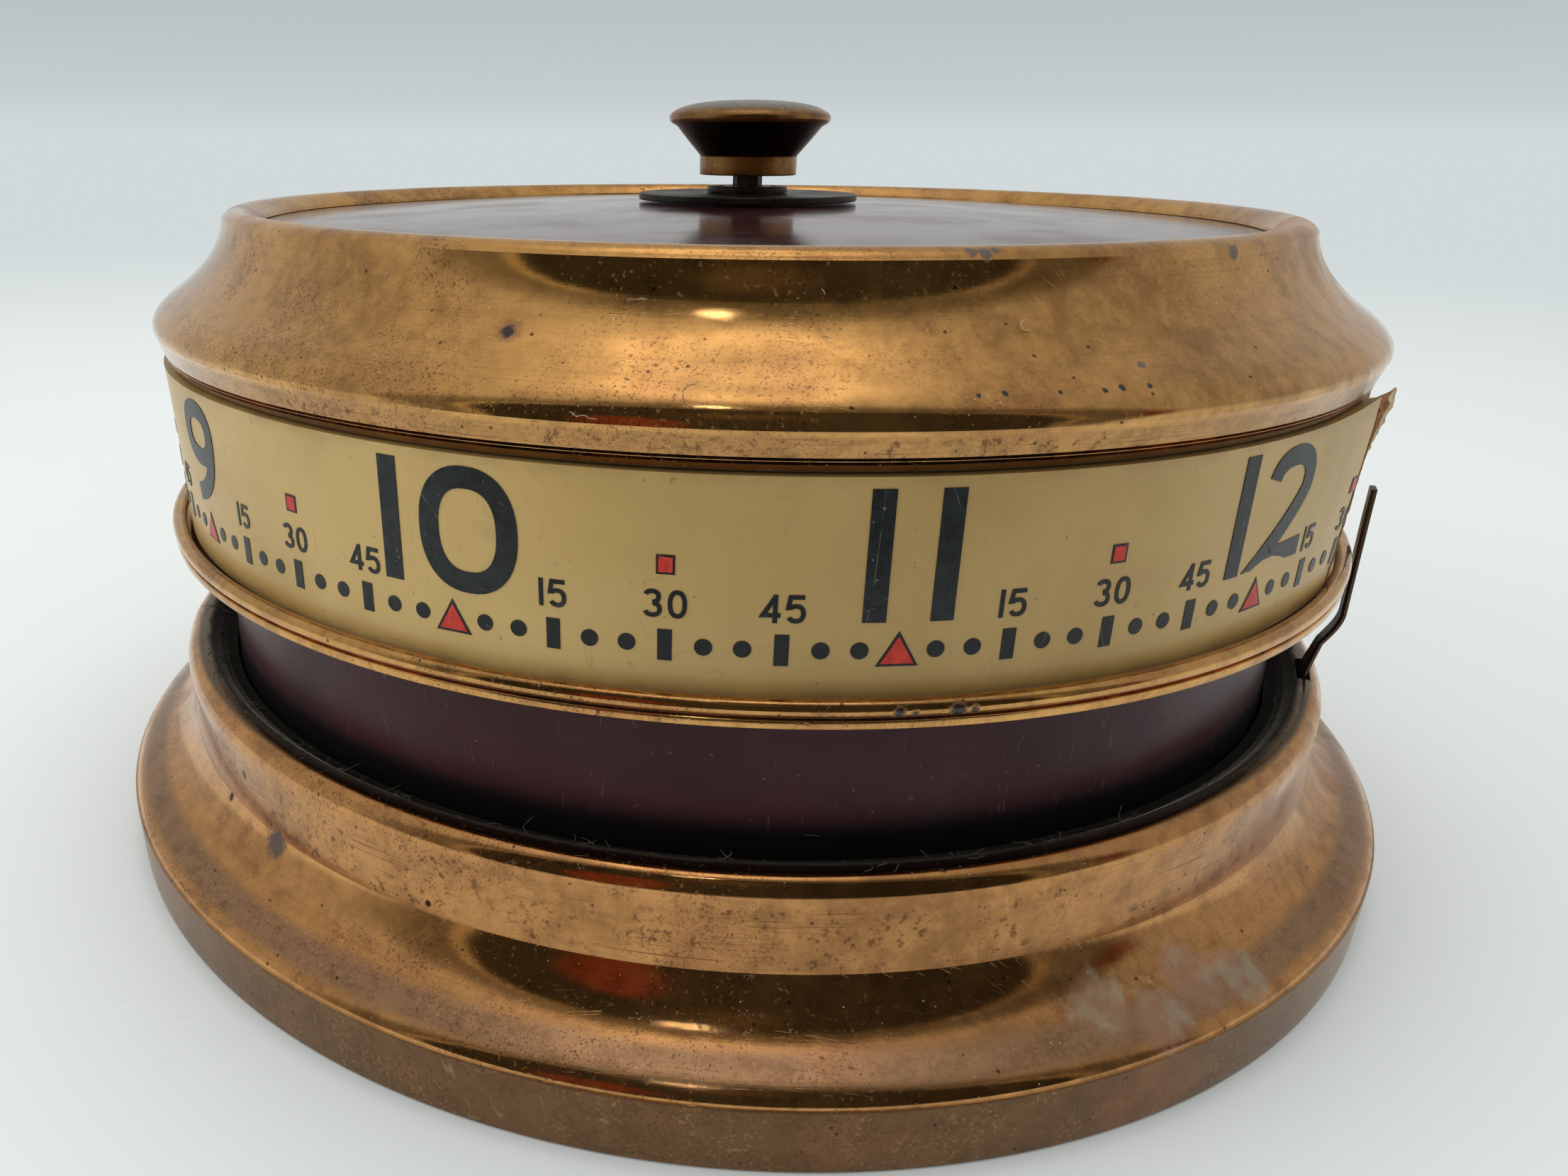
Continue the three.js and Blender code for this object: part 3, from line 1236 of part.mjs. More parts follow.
function add(name, geometry, [color, roughness, metalness]) {
  const material = new THREE.MeshStandardMaterial({ color, roughness, metalness });
  const mesh = new THREE.Mesh(geometry, material);
  mesh.name = name;
  clock.add(mesh);
}

add("base_shell", baseShell(), COPPER);
add("bottom_cover", bottomCover(), TIN);
add("lower_plate", lowerPlate(), BRASS);
add("upper_plate", upperPlate(), BRASS);
pillarPlaces.forEach((place, i) => {
  add(`pillar_${i + 1}`, pillar(place), BRASS);
  add(`pillar_nut_${i + 1}`, pillarNut(place), STEEL);
  add(`cover_screw_${i + 1}`, coverScrew(place), STEEL);
});
add("fixed_drum", fixedDrum(), BURGUNDY);
drumScrewPlaces.forEach((place, i) => add(`drum_screw_${i + 1}`, drumScrew(place), STEEL));
add("pointer", pointer(), BROWN_METAL);
add("pointer_screw", pointerScrew(), STEEL);

add("rim_shell", rimShell(), COPPER);
add("lid_disc", lidDisc(), BURGUNDY);
add("dial_carrier", dialCarrier(), TIN);
add("dial_paper", wrapped(paperInR, PAPER_T), PAPER);
add("dial_film", wrapped(filmInR, FILM_T), FILM);
add("bead_ring", beadRing(), COPPER);
add("dial_hub", dialHub(), BRASS);
add("hour_wheel", hourWheel(), BRASS);
add("top_washer", topWasher(), DARK_STEEL);
add("top_nut", topNut(), STEEL);

add("knob", knob(), COPPER);
add("setting_arbor", settingArbor(), STEEL);
add("cannon_pinion", cannonPinion(), STEEL);
add("clutch_spring", clutchSpring(), BRASS);
add("minute_wheel", minuteWheel(), BRASS);

add("centre_wheel", centreWheel(), BRASS);
add("third_wheel", thirdWheel(), BRASS);
add("fourth_wheel", fourthWheel(), BRASS);
add("escape_wheel", escapeWheel(), BRASS);
add("pallet_lever", palletLever(), STEEL);
add("balance_wheel", balanceWheel(), BRASS);
add("balance_screw_low", balanceScrew(LOWER_PLATE_Z - FIT, 1), STEEL);
add("balance_screw_high", balanceScrew(upperTopZ + FIT, -1), STEEL);
add("hairspring", hairspring(), STEEL);
add("hairspring_stud", hairspringStud(), STEEL);
add("regulator", regulator(), STEEL);

add("great_wheel", greatWheel(), BRASS);
add("click", click(), STEEL);
add("click_spring", clickSpring(), STEEL);
add("ratchet_wheel", ratchetWheel(), STEEL);
add("winding_arbor", windingArbor(), STEEL);
add("winding_key", windingKey(), BRASS);
add("mainspring", mainspring(), STEEL);
add("spring_post", springPost(), STEEL);

export default clock;
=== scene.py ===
import json
import math
import random
from functools import partialmethod

import bpy
from mathutils import Matrix, Vector


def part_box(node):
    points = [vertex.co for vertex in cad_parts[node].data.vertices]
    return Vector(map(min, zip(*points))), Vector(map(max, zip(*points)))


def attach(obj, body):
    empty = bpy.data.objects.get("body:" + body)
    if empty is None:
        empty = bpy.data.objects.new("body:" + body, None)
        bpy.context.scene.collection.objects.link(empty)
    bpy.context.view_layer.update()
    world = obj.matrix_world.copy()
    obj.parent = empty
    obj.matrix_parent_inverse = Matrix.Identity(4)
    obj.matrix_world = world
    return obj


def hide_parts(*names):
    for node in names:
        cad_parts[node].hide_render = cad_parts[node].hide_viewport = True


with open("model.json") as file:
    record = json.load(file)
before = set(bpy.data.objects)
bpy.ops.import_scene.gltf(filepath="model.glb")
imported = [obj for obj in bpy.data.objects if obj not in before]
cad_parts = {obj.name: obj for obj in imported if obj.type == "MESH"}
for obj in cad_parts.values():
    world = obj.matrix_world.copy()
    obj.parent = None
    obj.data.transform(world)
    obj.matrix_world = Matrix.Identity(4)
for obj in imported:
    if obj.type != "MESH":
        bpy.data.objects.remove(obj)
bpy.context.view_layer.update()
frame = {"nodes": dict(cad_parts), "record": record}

MM = 0.001
TURN_STEPS = 288  # facets round a large shell
SMALL_STEPS = 96  # facets round a knob or screw
SHARP_DEGREES = 32

# Radii and heights of the shells, in mm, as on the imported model
DRUM_R = 50.15
FILM_R = 53.1
SKIRT_R = FILM_R + 0.4
SKIRT_Z = 43.46
TORUS_SIDE = (54.52, 46.4)
TORUS_PULL = (54.52, 47.33)
SCOOP_FOOT = (52.64, 48.65)
SCOOP_PULL = (48.6, 51.48)
SCOOP_TOP = (48.2, 54.74)
ROLL_PULL = (47.73, 55.46)
ROLL_TOP = (46.9, 55.46)
BEAD_Z = 27.9
LIP_MID = (53.17, 15.85)
LIP_R = 1.6
COLLAR_R = 54.62
COVE_START = (COLLAR_R, 10.42)
COVE_PULL = (55.53, 7.93)
COVE_END = (58.4, 6.65)
SHOULDER_PULL = (60.29, 5.81)
SHOULDER_END = (60.37, 5.12)
COVE_MID = (58.6, 11.0)
COVE_R = 4.2
BASE_WALL = 0.9
STRIP_Z = (29.05, 43.3)
STRIP_LEAN = 0.5  # how much further out the strip's top edge stands than its foot
SEAM_AZIMUTH = -33.5  # where the strip's end has come loose
SEAM_RUN = 12.5  # degrees over which it lifts
SEAM_LIFT = (0.35, 1.1)  # at its foot and at its top
SEAM_RISE = 0.85
SLACK_AZIMUTH = -152.0
# Fibres seen on the rim: azimuth, radius and height
LINT_PLACES = [(-106.5, 48.6, 53.15), (-96.4, 49.0, 52.4), (-98.3, 54.55, 46.4), (-84.5, 48.75, 52.85),
               (-128.5, 52.1, 49.15), (-92.5, 53.1, 48.5), (-70.5, 50.2, 50.8), (-118.0, 48.9, 52.7)]

# Dial layout: azimuth of twelve o'clock, seen from above, and the heights of the rows, in mm
TWELVE_AZIMUTH = -49.23
HOUR_STEP = 30.0
MARK_Z = 32.46
SQUARE_Z = 37.65
TEXT_Z = 34.24
TEXT_H = 1.81
HOUR_Z = 34.3
HOUR_H = 8.3
# Ovals of the round figures, in shares of width and height: middle aside and up, width, whether one
# reaches the top, or else the foot, its first and last angle, and its steps
ROUNDS = {
    "0": [(0.0, 0.5, 1.0, True, 0, 352.5, 47)],
    "3": [(-0.04, 0.73, 0.9, True, 160, -88, 26), (-0.02, 0.285, 1.0, False, 88, -162, 28)],
    "8": [(0.0, 0.745, 0.86, True, 0, 351, 39), (0.0, 0.28, 1.0, False, 0, 351, 39)],
}
PRINT_SUNK = 0.03  # how far the print reaches into the strip
NUDGE = {10: -0.15, 11: 0.45, 12: 0.6}  # numerals printed a little off their marks
POINTER_AZIMUTH = -20.0

# Colours: of cream paper and maroon enamel in their clouds, of gilt flecks, and of marks on the copper
CREAMS = [(0.3, (0.44, 0.29, 0.095)), (0.5, (0.50, 0.34, 0.125)), (0.72, (0.41, 0.265, 0.085))]
MAROONS = [(0.3, (0.030, 0.008, 0.010)), (0.55, (0.044, 0.010, 0.014)), (0.8, (0.024, 0.008, 0.010))]
GILT = (0.42, 0.26, 0.10)
MARKS = {  # ragged edge, its grain, colour, share of it, metal lost, dullness gained, depth
    "rust": (0.8, 2.2, (0.20, 0.07, 0.03), 0.6, 0.35, 0.0, 0.0),
    "grime": (0.7, 1.8, (0.05, 0.055, 0.06), 0.85, 0.7, 0.25, 0.0),
    "pits": (0.7, 2.6, (0.02, 0.012, 0.01), 1.0, 1.0, 0.0, 6.0),
}

# Surroundings: the wall from the horizon up, and the brightness of the tent as the metal sees it
WALL = [(0.0, (0.635, 0.69, 0.70)), (0.03, (0.56, 0.61, 0.62)), (0.08, (0.50, 0.55, 0.555)),
        (0.16, (0.44, 0.485, 0.49))]
ROOM = [(0.0, (0.60, 0.61, 0.60)), (0.5, (0.56, 0.56, 0.54)), (0.87, (0.62, 0.60, 0.56)),
        (0.95, (0.95, 0.91, 0.84)), (0.975, (1.55, 1.46, 1.3)), (0.99, (1.5, 1.42, 1.28)),
        (1.0, (1.05, 1.0, 0.92))]
FLOOR = 6.0  # half its size, in m
FLOOR_FADE = (70.0, 750.0)  # where the floor starts to pass into the wall, and where it has, in mm

# The card in front: its edges in m, then middles and half sizes in mm, across and up
CARD = (-0.32, 0.40, 0.001, 0.3)
OPENING_Y = -115.0
OPENING = ((14.0, 58.0), (97.0, 82.0))
OPENING_POWER = 3.0  # 2 would be an ellipse
VEIL = ((45.0, 60.0), (190.0, 140.0))
# Patches on it: middle, half size, where the fade starts and ends, strength, colour
RED_PATCH = ((215.0, 55.0), (50.0, 44.0), 0.5, 1.1, 0.9, (0.17, 0.045, 0.03))
GLOW_PATCH = ((3.0, 92.0), (20.0, 26.0), 0.3, 1.2, 0.5, (0.17, 0.13, 0.08))
WARM_PATCH = ((-27.0, 33.0), (17.0, 33.0), 0.6, 1.1, 0.9, (0.21, 0.06, 0.032))

# Camera, fitted to the photograph
CAMERA_AT = (0.0, -0.11799, 0.06145)
CAMERA_PITCH = math.radians(18.16)
CAMERA_YAW = math.radians(-5.82)
CAMERA_ROLL = math.radians(0.31)
SENSOR = 36.0
LENS = 27.04
SHIFT = (0.1042, -0.0415)


def add_object(name, data):
    obj = bpy.data.objects.new(name, data)
    bpy.context.scene.collection.objects.link(obj)
    return obj


def make_camera():
    data = bpy.data.cameras.new("camera")
    data.sensor_width = SENSOR
    data.lens = LENS
    data.shift_x, data.shift_y = SHIFT
    data.clip_start = 0.005
    data.clip_end = 20
    obj = add_object("camera", data)
    yaw = Matrix.Rotation(-CAMERA_YAW, 4, "Z")
    pitch = Matrix.Rotation(math.pi / 2 - CAMERA_PITCH, 4, "X")
    roll = Matrix.Rotation(CAMERA_ROLL, 4, "Z")
    obj.matrix_world = Matrix.Translation(CAMERA_AT) @ yaw @ pitch @ roll
    bpy.context.scene.camera = obj


# Shader nodes

class Value:
    """A shader socket that takes plain arithmetic. Each sign adds one node."""

    def __init__(self, tree, socket):
        self.tree = tree
        self.socket = socket

    def calc(self, operation, other=0.0, clamp=False):
        return self.tree.calc(operation, self, other, clamp)

    def __rsub__(self, other):
        return self.tree.calc("SUBTRACT", other, self)

    __abs__ = partialmethod(calc, "ABSOLUTE")
    __add__ = partialmethod(calc, "ADD")
    __sub__ = partialmethod(calc, "SUBTRACT")
    __mul__ = partialmethod(calc, "MULTIPLY")
    __truediv__ = partialmethod(calc, "DIVIDE")
    __pow__ = partialmethod(calc, "POWER")
    larger = partialmethod(calc, "MAXIMUM")
    plus = partialmethod(calc, "ADD", clamp=True)  # plus and less keep the result between 0 and 1
    less = partialmethod(calc, "SUBTRACT", clamp=True)

    def fade(self, low, high, to_low=0.0, to_high=1.0):
        """A smooth step from to_low, at low, to to_high, at high."""
        inputs = {"Value": self, "From Min": low, "From Max": high, "To Min": to_low, "To Max": to_high}
        return self.tree.node("ShaderNodeMapRange", inputs, interpolation_type="SMOOTHSTEP")

    def fall(self, low, high):
        """A smooth step from 1, at low, to 0, at high."""
        return self.fade(low, high, 1.0, 0.0)


class Tree:
    """A node tree, with the shaded point in mm as place and the colour so far as color."""

    def __init__(self, owner):
        owner.use_nodes = True
        self.nodes = owner.node_tree.nodes
        self.links = owner.node_tree.links
        self.nodes.clear()
        self.owner = owner
        self.place = None
        self.color = None

    def node(self, kind, inputs, output=0, **settings):
        """Adds a node, fills its inputs by name or number, and returns one output."""
        made = self.nodes.new(kind)
        for key, value in settings.items():
            setattr(made, key, value)
        for key, value in inputs.items():
            if isinstance(value, Value):
                self.links.new(value.socket, made.inputs[key])
            else:
                made.inputs[key].default_value = value
        return Value(self, made.outputs[output])

    def calc(self, operation, a, b=0.0, clamp=False):
        return self.node("ShaderNodeMath", {0: a, 1: b}, operation=operation, use_clamp=clamp)

    def scaled(self, vector, factors):
        return self.node("ShaderNodeVectorMath", {0: vector, 1: factors}, operation="MULTIPLY")

    def length(self, vector):
        return self.node("ShaderNodeVectorMath", {0: vector}, "Value", operation="LENGTH")

    def reach(self, point):
        """How far the shaded point is from a point, in mm."""
        return self.node("ShaderNodeVectorMath", {0: self.place, 1: point}, "Value", operation="DISTANCE")

    def split(self, vector):
        return [self.node("ShaderNodeSeparateXYZ", {0: vector}, axis) for axis in range(3)]

    def combine(self, x, y, z=0.0):
        return self.node("ShaderNodeCombineXYZ", {0: x, 1: y, 2: z})

    def noise(self, scale, detail=4.0, rough=0.55, distortion=0.0, vector=None):
        inputs = {"Scale": scale, "Detail": detail, "Roughness": rough, "Distortion": distortion}
        return self.node("ShaderNodeTexNoise", {"Vector": vector or self.place, **inputs}, "Fac")

    def cells(self, scale, feature="F1", vector=None):
        inputs = {"Vector": vector or self.place, "Scale": scale}
        return self.node("ShaderNodeTexVoronoi", inputs, "Distance", feature=feature)

    def ramp(self, value, stops):
        made = self.node("ShaderNodeValToRGB", {0: value})
        elements = made.socket.node.color_ramp.elements
        while len(elements) < len(stops):
            elements.new(0.5)
        for element, (place, color) in zip(elements, stops):
            element.position = place
            element.color = (*color, 1)
        return made

    def mix(self, share, a, b):
        a, b = (color if isinstance(color, Value) else (*color, 1) for color in (a, b))
        inputs = {"Factor": share, 6: a, 7: b}
        return self.node("ShaderNodeMix", inputs, 2, data_type="RGBA", clamp_factor=True)

    def paint(self, share, color):
        """Lays a colour over the colour so far."""
        self.color = self.mix(share, self.color, color)

    def bump(self, height, strength, distance, **normal):
        inputs = {"Height": height, "Strength": strength, "Distance": distance, **normal}
        return self.node("ShaderNodeBump", inputs)

    def ray(self, kind):
        return self.node("ShaderNodeLightPath", {}, f"Is {kind} Ray")

    def principled(self, **values):
        """A Principled shader in the colour so far. Spaces in a socket's name are written as _."""
        inputs = {key.replace("_", " "): value for key, value in values.items()}
        return self.node("ShaderNodeBsdfPrincipled", {"Base Color": self.color, **inputs})

    def join(self, share, first, second):
        return self.node("ShaderNodeMixShader", {0: share, 1: first, 2: second})

    def show(self, shader, kind="Material"):
        output = self.nodes.new("ShaderNodeOutput" + kind)
        self.links.new(shader.socket, output.inputs[0])
        return self.owner


def material(name):
    """A new material's tree."""
    tree = Tree(bpy.data.materials.new(name))
    tree.place = tree.scaled(tree.node("ShaderNodeTexCoord", {}, "Object"), (1000, 1000, 1000))
    return tree


def darker(color, share):
    return tuple(share * v for v in color)


def at(azimuth, radius, z):
    turn = math.radians(azimuth)
    return (radius * math.cos(turn), radius * math.sin(turn), z)


def largest(masks):
    total = masks[0]
    for mask in masks[1:]:
        total = total.larger(mask)
    return total


def spot_mask(tree, spots, ragged, grain):
    """A soft mask, 1 inside each spot of (azimuth, radius from the axis, height, size), with ragged edges."""
    wobble = tree.noise(grain, 5, 0.65) * (2 * ragged)
    return largest([
        (tree.reach(at(azimuth, radius, z)) / size + wobble).fall(0.55 + ragged, 1.05 + ragged)
        for azimuth, radius, z, size in spots
    ])


def scratch_mask(tree, turns, stretch, density):
    """Short straight hairlines in a few directions."""
    masks = []
    for index, turn in enumerate(turns):
        lines_at = tree.node("ShaderNodeMapping", {
            "Vector": tree.place,
            "Rotation": (turn, turn * 1.7 + index, turn * 0.6),
            "Scale": (stretch, 1.4, 0.03 + 0.5 * stretch),
        })
        thin = abs(tree.noise(1.0, 1.5, 0.4, vector=lines_at) - 0.5).fall(0.0, 0.006)
        masks.append(thin * tree.noise(0.35 + 0.2 * index, 2).fade(density, density + 0.06))
    return largest(masks)


def worn_tint(tree, tint, mottle, fine):
    """A band's colour, darker in places and with gilt flecks."""
    clouded = tree.mix((mottle + fine * 0.5).fade(0.6, 0.85), darker(tint, 0.66), tint)
    flecks = tree.noise(3.4, 4, 0.65).fade(0.55, 0.62) * tree.noise(0.22, 3, 0.6).fade(0.46, 0.6)
    return tree.mix(flecks * 0.8, clouded, tuple(v + 0.6 * (w - v) for v, w in zip(tint, GILT)))


def paint_drawn_lines(tree, z, low, high):
    """Brown lines drawn round the metal, and freckles, between two heights."""
    zone = z.fade(low, low + 0.3) * z.fall(high - 0.5, high)
    drawn = tree.noise(1.0, 3, 0.6, vector=tree.scaled(tree.place, (0.1, 0.1, 11.0))).fade(0.58, 0.66)
    drawn = drawn * tree.noise(0.09, 3).fade(0.4, 0.54)
    freckle = tree.noise(1.5, 5, 0.7).fade(0.53, 0.62) * tree.noise(0.14, 3).fade(0.42, 0.55)
    tree.paint(drawn.larger(freckle) * zone * 0.8, (0.14, 0.055, 0.03))


def paint_specks(tree, x, y):
    """Specks, flecks and tarnish, which crowd together in places. Returns the mask of the specks."""
    crowd = tree.noise(0.12, 3).fade(0.4, 0.6) * y.fade(-50, -30, 0.7, 1.0) * x.fade(-20, 30, 1.0, 0.4)
    speck = tree.noise(2.6, 3, 0.6).fade(0.625, 0.665) * crowd
    tree.paint(speck * 0.9, (0.04, 0.02, 0.012))
    fleck = tree.noise(5.4, 2, 0.5).fade(0.595, 0.635) * crowd
    tree.paint(fleck * 0.85, (0.05, 0.025, 0.015))
    tree.paint(tree.noise(0.9, 6, 0.75, 0.5).fade(0.5, 0.68, 0.0, 0.45) * crowd, (0.13, 0.065, 0.035))
    return speck


def aged_copper(name, light=(0.68, 0.37, 0.125), dark=(0.36, 0.185, 0.065), rough=(0.08, 0.36), haze=0.25,
                bands=(), lined=None, pits=(), grime=(), rust=(), bloom=(), ledge=False):
    """Copper gone golden brown: cloudy patina, turned lines, specks, hairlines, and named marks.

    Each band is (low z, high z, dullness, colour, share of metal lost, softness of its edges).
    lined is the (low z, high z) of a zone with brown drawn lines and freckles.
    """
    tree = material(name)
    x, y, z = tree.split(tree.place)
    run = tree.split(tree.node("ShaderNodeUVMap", {}, uv_map="outline"))[1]
    mottle = tree.noise(0.5, 6, 0.7, 0.1)
    fine = tree.noise(2.6, 4, 0.7)
    lines = tree.noise(1.0, 5, 0.75, vector=tree.combine(x * 0.035, y * 0.035, run * 5.5))
    tone = tree.noise(0.05, 5, 0.6, 0.15) * 0.5 + mottle * 0.5
    tree.color = tree.mix(tone.fade(0.4, 0.66), light, dark)
    handled = y.fade(-47.0, -33.0, 0.1, 1.0)
    dull = tree.noise(0.06, 4, 0.6, 0.1).fade(0.4, 0.66) * handled
    lost = []
    for low, high, amount, tint, loss, soft in bands:
        zone = z.fade(low - soft, low + soft) * z.fall(high - soft, high + soft)
        tree.paint(zone * 0.92, worn_tint(tree, tint, mottle, fine))
        dull = dull.larger(zone * amount)
        lost.append(zone * loss)
    tree.paint(lines.fade(0.5, 0.72) * 0.3, darker(dark, 0.7))
    tree.paint(tree.noise(0.12, 3, 0.5).fade(0.52, 0.7, 0.0, 0.35), (0.38, 0.16, 0.075))
    speck = paint_specks(tree, x, y)
    if lined:
        paint_drawn_lines(tree, z, *lined)
    tree.paint(tree.cells(0.55).fall(0.05, 0.09) * 0.8, (0.045, 0.025, 0.018))
    hair = scratch_mask(tree, (0.3, 1.9, 3.4), 0.045, 0.58)
    tree.paint(hair * 0.2, (0.75, 0.5, 0.27))
    metal = (1.0 - speck * 0.7).less(dull * haze)
    if lost:
        metal = metal.less(largest(lost))
    roughness = (dull * 0.75 + fine * 0.15 + speck * 0.4).fade(0.08, 0.85, *rough)
    height = lines * 0.35 + mottle * 0.5 + dull * fine * 0.8 - (speck * 0.9 + hair * 0.5)
    facing_up = tree.split(tree.node("ShaderNodeNewGeometry", {}, "Normal"))[2]
    dust = tree.cells(1.7).fall(0.07, 0.11) * tree.noise(0.6, 2).fade(0.5, 0.6)
    dust = dust * facing_up.fade(0.25, 0.6, 0.0, 0.75)
    tree.paint(dust, (0.50, 0.44, 0.36))
    metal = metal.less(dust)
    if bloom:
        mask = spot_mask(tree, bloom, 0.9, 0.5)
        chalk = tree.noise(0.55, 6, 0.6).fade(0.42, 0.66)
        tree.paint(mask * 0.6, tree.mix(chalk, (0.40, 0.235, 0.165), (0.36, 0.33, 0.235)))
        metal = metal.less(mask * chalk * 0.25)
        roughness = roughness + mask * 0.12
    for kind, spots in (("rust", rust), ("grime", grime), ("pits", pits)):
        if spots:
            ragged, grain, tint, share, loss, dulled, depth = MARKS[kind]
            mask = spot_mask(tree, spots, ragged, grain)
            tree.paint(mask * share, tint)
            metal = metal.less(mask * loss)
            roughness = roughness + mask * dulled
            height = height - mask * depth
    if ledge:
        reach = tree.length(tree.combine(x, y))
        on_ledge = z.fade(15.6, 16.0)
        # Painted dark reflection: the lip's top and inner slope are painted dark olive.
        tree.paint((reach + mottle * 0.5).fade(53.8, 54.25, 0.88, 0.0) * on_ledge, (0.055, 0.046, 0.03))
        # Inside it the ledge is painted black: dust, with painted shade in the channel.
        mask = (reach + mottle * 0.8).fall(52.8, 53.5) * on_ledge
        tree.paint(mask, (0.008, 0.007, 0.005))
        metal = metal.less(mask)
        roughness = roughness + mask * 0.7
        height = height + mask * (fine * 6.0)
    swell = tree.noise(0.16, 2, 0.5)
    normal = tree.bump(swell, 0.12, 0.0002, Normal=tree.bump(height, 0.16, 0.00006))
    return tree.show(tree.principled(
        Metallic=metal, Roughness=roughness, Normal=normal, Specular_IOR_Level=0.04 if ledge else 0.5,
        Sheen_Weight=0.4 if ledge else 0.15, Sheen_Roughness=0.28, Sheen_Tint=(0.95, 0.86, 0.76, 1.0),
    ))


def burgundy(name, dust, scuffs=0.5, rough=(0.12, 0.3), coat=0.35, shine=0.5, shaded_below=None):
    """Dark maroon enamel with a grey bloom, specks of dust and hairlines, and painted shade that turns it
    black below a given height.
    """
    tree = material(name)
    tree.color = tree.ramp(tree.noise(0.05, 4, 0.55, 0.5), MAROONS)
    tree.paint(tree.noise(0.11, 5, 0.65).fade(0.5, 0.75, 0.0, 0.35), (0.06, 0.034, 0.036))
    bits = tree.cells(0.8).fall(0.05, 0.1) * tree.noise(0.2, 2).fade(0.45, 0.6)
    tree.paint(bits * dust, (0.32, 0.25, 0.24))
    hair = scratch_mask(tree, (0.7, 2.3), 0.05, 0.56)
    tree.paint(hair * (0.35 * scuffs), (0.35, 0.22, 0.22))
    roughness = tree.noise(0.09, 5, 0.6).fade(0.35, 0.75, *rough)
    # Painted shade: the enamel goes black towards its foot, where it sits down in the base's lip.
    if shaded_below:
        black = tree.split(tree.place)[2].fall(shaded_below - 0.6, shaded_below + 1.4)
        tree.paint(black, (0.004, 0.003, 0.003))
        roughness = roughness.plus(black * 0.5)
    normal = tree.bump(tree.noise(1.3, 2, 0.5) - hair, 0.12, 0.00004)
    return tree.show(tree.principled(
        Roughness=roughness, Normal=normal, Specular_IOR_Level=shine, Coat_Weight=coat, Coat_Roughness=0.1,
    ))


def plain_metal(name, light, dark, rough=(0.3, 0.5), grain=(0.05, 0.05, 4.0)):
    """A worked metal with grain, clouding and dark specks, for steel, brass and tin plate."""
    tree = material(name)
    brushed = tree.noise(1.0, 4, 0.7, vector=tree.scaled(tree.place, grain))
    tone = tree.noise(0.12, 5, 0.6, 0.3) * 0.6 + brushed * 0.4
    tree.color = tree.mix(tone.fade(0.35, 0.7), light, dark)
    speck = tree.noise(2.2, 3, 0.6).fade(0.66, 0.71, 0.0, 0.6)
    tree.paint(speck, darker(dark, 0.15))
    normal = tree.bump(brushed - speck, 0.15, 0.00005)
    return tree.show(tree.principled(Metallic=0.95, Roughness=tone.fade(0.3, 0.75, *rough), Normal=normal))


def dial_paper():
    """Cream strip under clear film: yellowed clouds, foxing, stains at the edges, painted shade across the
    front, and a glossy coat.
    """
    tree = material("dial_cream")
    x, y, z = tree.split(tree.place)
    tree.color = tree.ramp(tree.noise(0.045, 5, 0.55, 0.6), CREAMS)
    # Painted shade: the paper is painted darker across the front, where less light reaches it.
    front_shade = x.fade(-16.0, 4.0) * x.fall(20.0, 38.0) * y.fall(-20.0, 0.0)
    tree.paint(front_shade * 0.75, tree.scaled(tree.color, (0.72, 0.69, 0.62)))
    low, high = STRIP_Z
    edge = z.fall(low, low + 1.6).larger(z.fade(high - 1.0, high, 0.0, 0.7))
    edge = edge * tree.noise(0.3, 4, 0.6).fade(0.3, 0.7)
    tree.paint(edge * 0.7, (0.28, 0.17, 0.06))
    tree.paint(tree.noise(0.16, 6, 0.7, 0.8).fade(0.56, 0.72, 0.0, 0.35), (0.36, 0.225, 0.085))
    tree.paint(tree.noise(1.5, 3, 0.6).fade(0.70, 0.74, 0.0, 0.6), (0.22, 0.11, 0.035))
    tree.paint(tree.cells(0.42).fade(0.03, 0.05, 0.65, 0.0), (0.15, 0.09, 0.04))
    fibre = tree.noise(1.6, 4, 0.7, vector=tree.scaled(tree.place, (2.0, 2.0, 6.0)))
    hair = scratch_mask(tree, (0.2, 1.2, 2.6), 0.05, 0.55)
    tree.paint(hair * 0.4, (0.33, 0.21, 0.09))
    height = tree.noise(0.14, 3, 0.5) * 3.0 + fibre * 0.08 - hair * 0.3
    return tree.show(tree.principled(
        Roughness=fibre.fade(0.3, 0.7, 0.42, 0.6), Normal=tree.bump(height, 0.3, 0.0001),
        Specular_IOR_Level=0.3, Coat_Weight=0.3, Coat_Roughness=0.14,
    ))


def plain_lint(name, color, rough=0.8):
    """Matt fibre or paper, cloudy and darker in places."""
    tree = material(name)
    cloud = tree.noise(1.4, 5, 0.65)
    tree.color = tree.mix(cloud.fade(0.35, 0.7), color, darker(color, 0.45))
    return tree.show(tree.principled(
        Roughness=cloud.fade(0.3, 0.8, rough, min(rough + 0.15, 1.0)),
        Normal=tree.bump(tree.noise(6.0, 3, 0.6), 0.3, 0.00004),
    ))


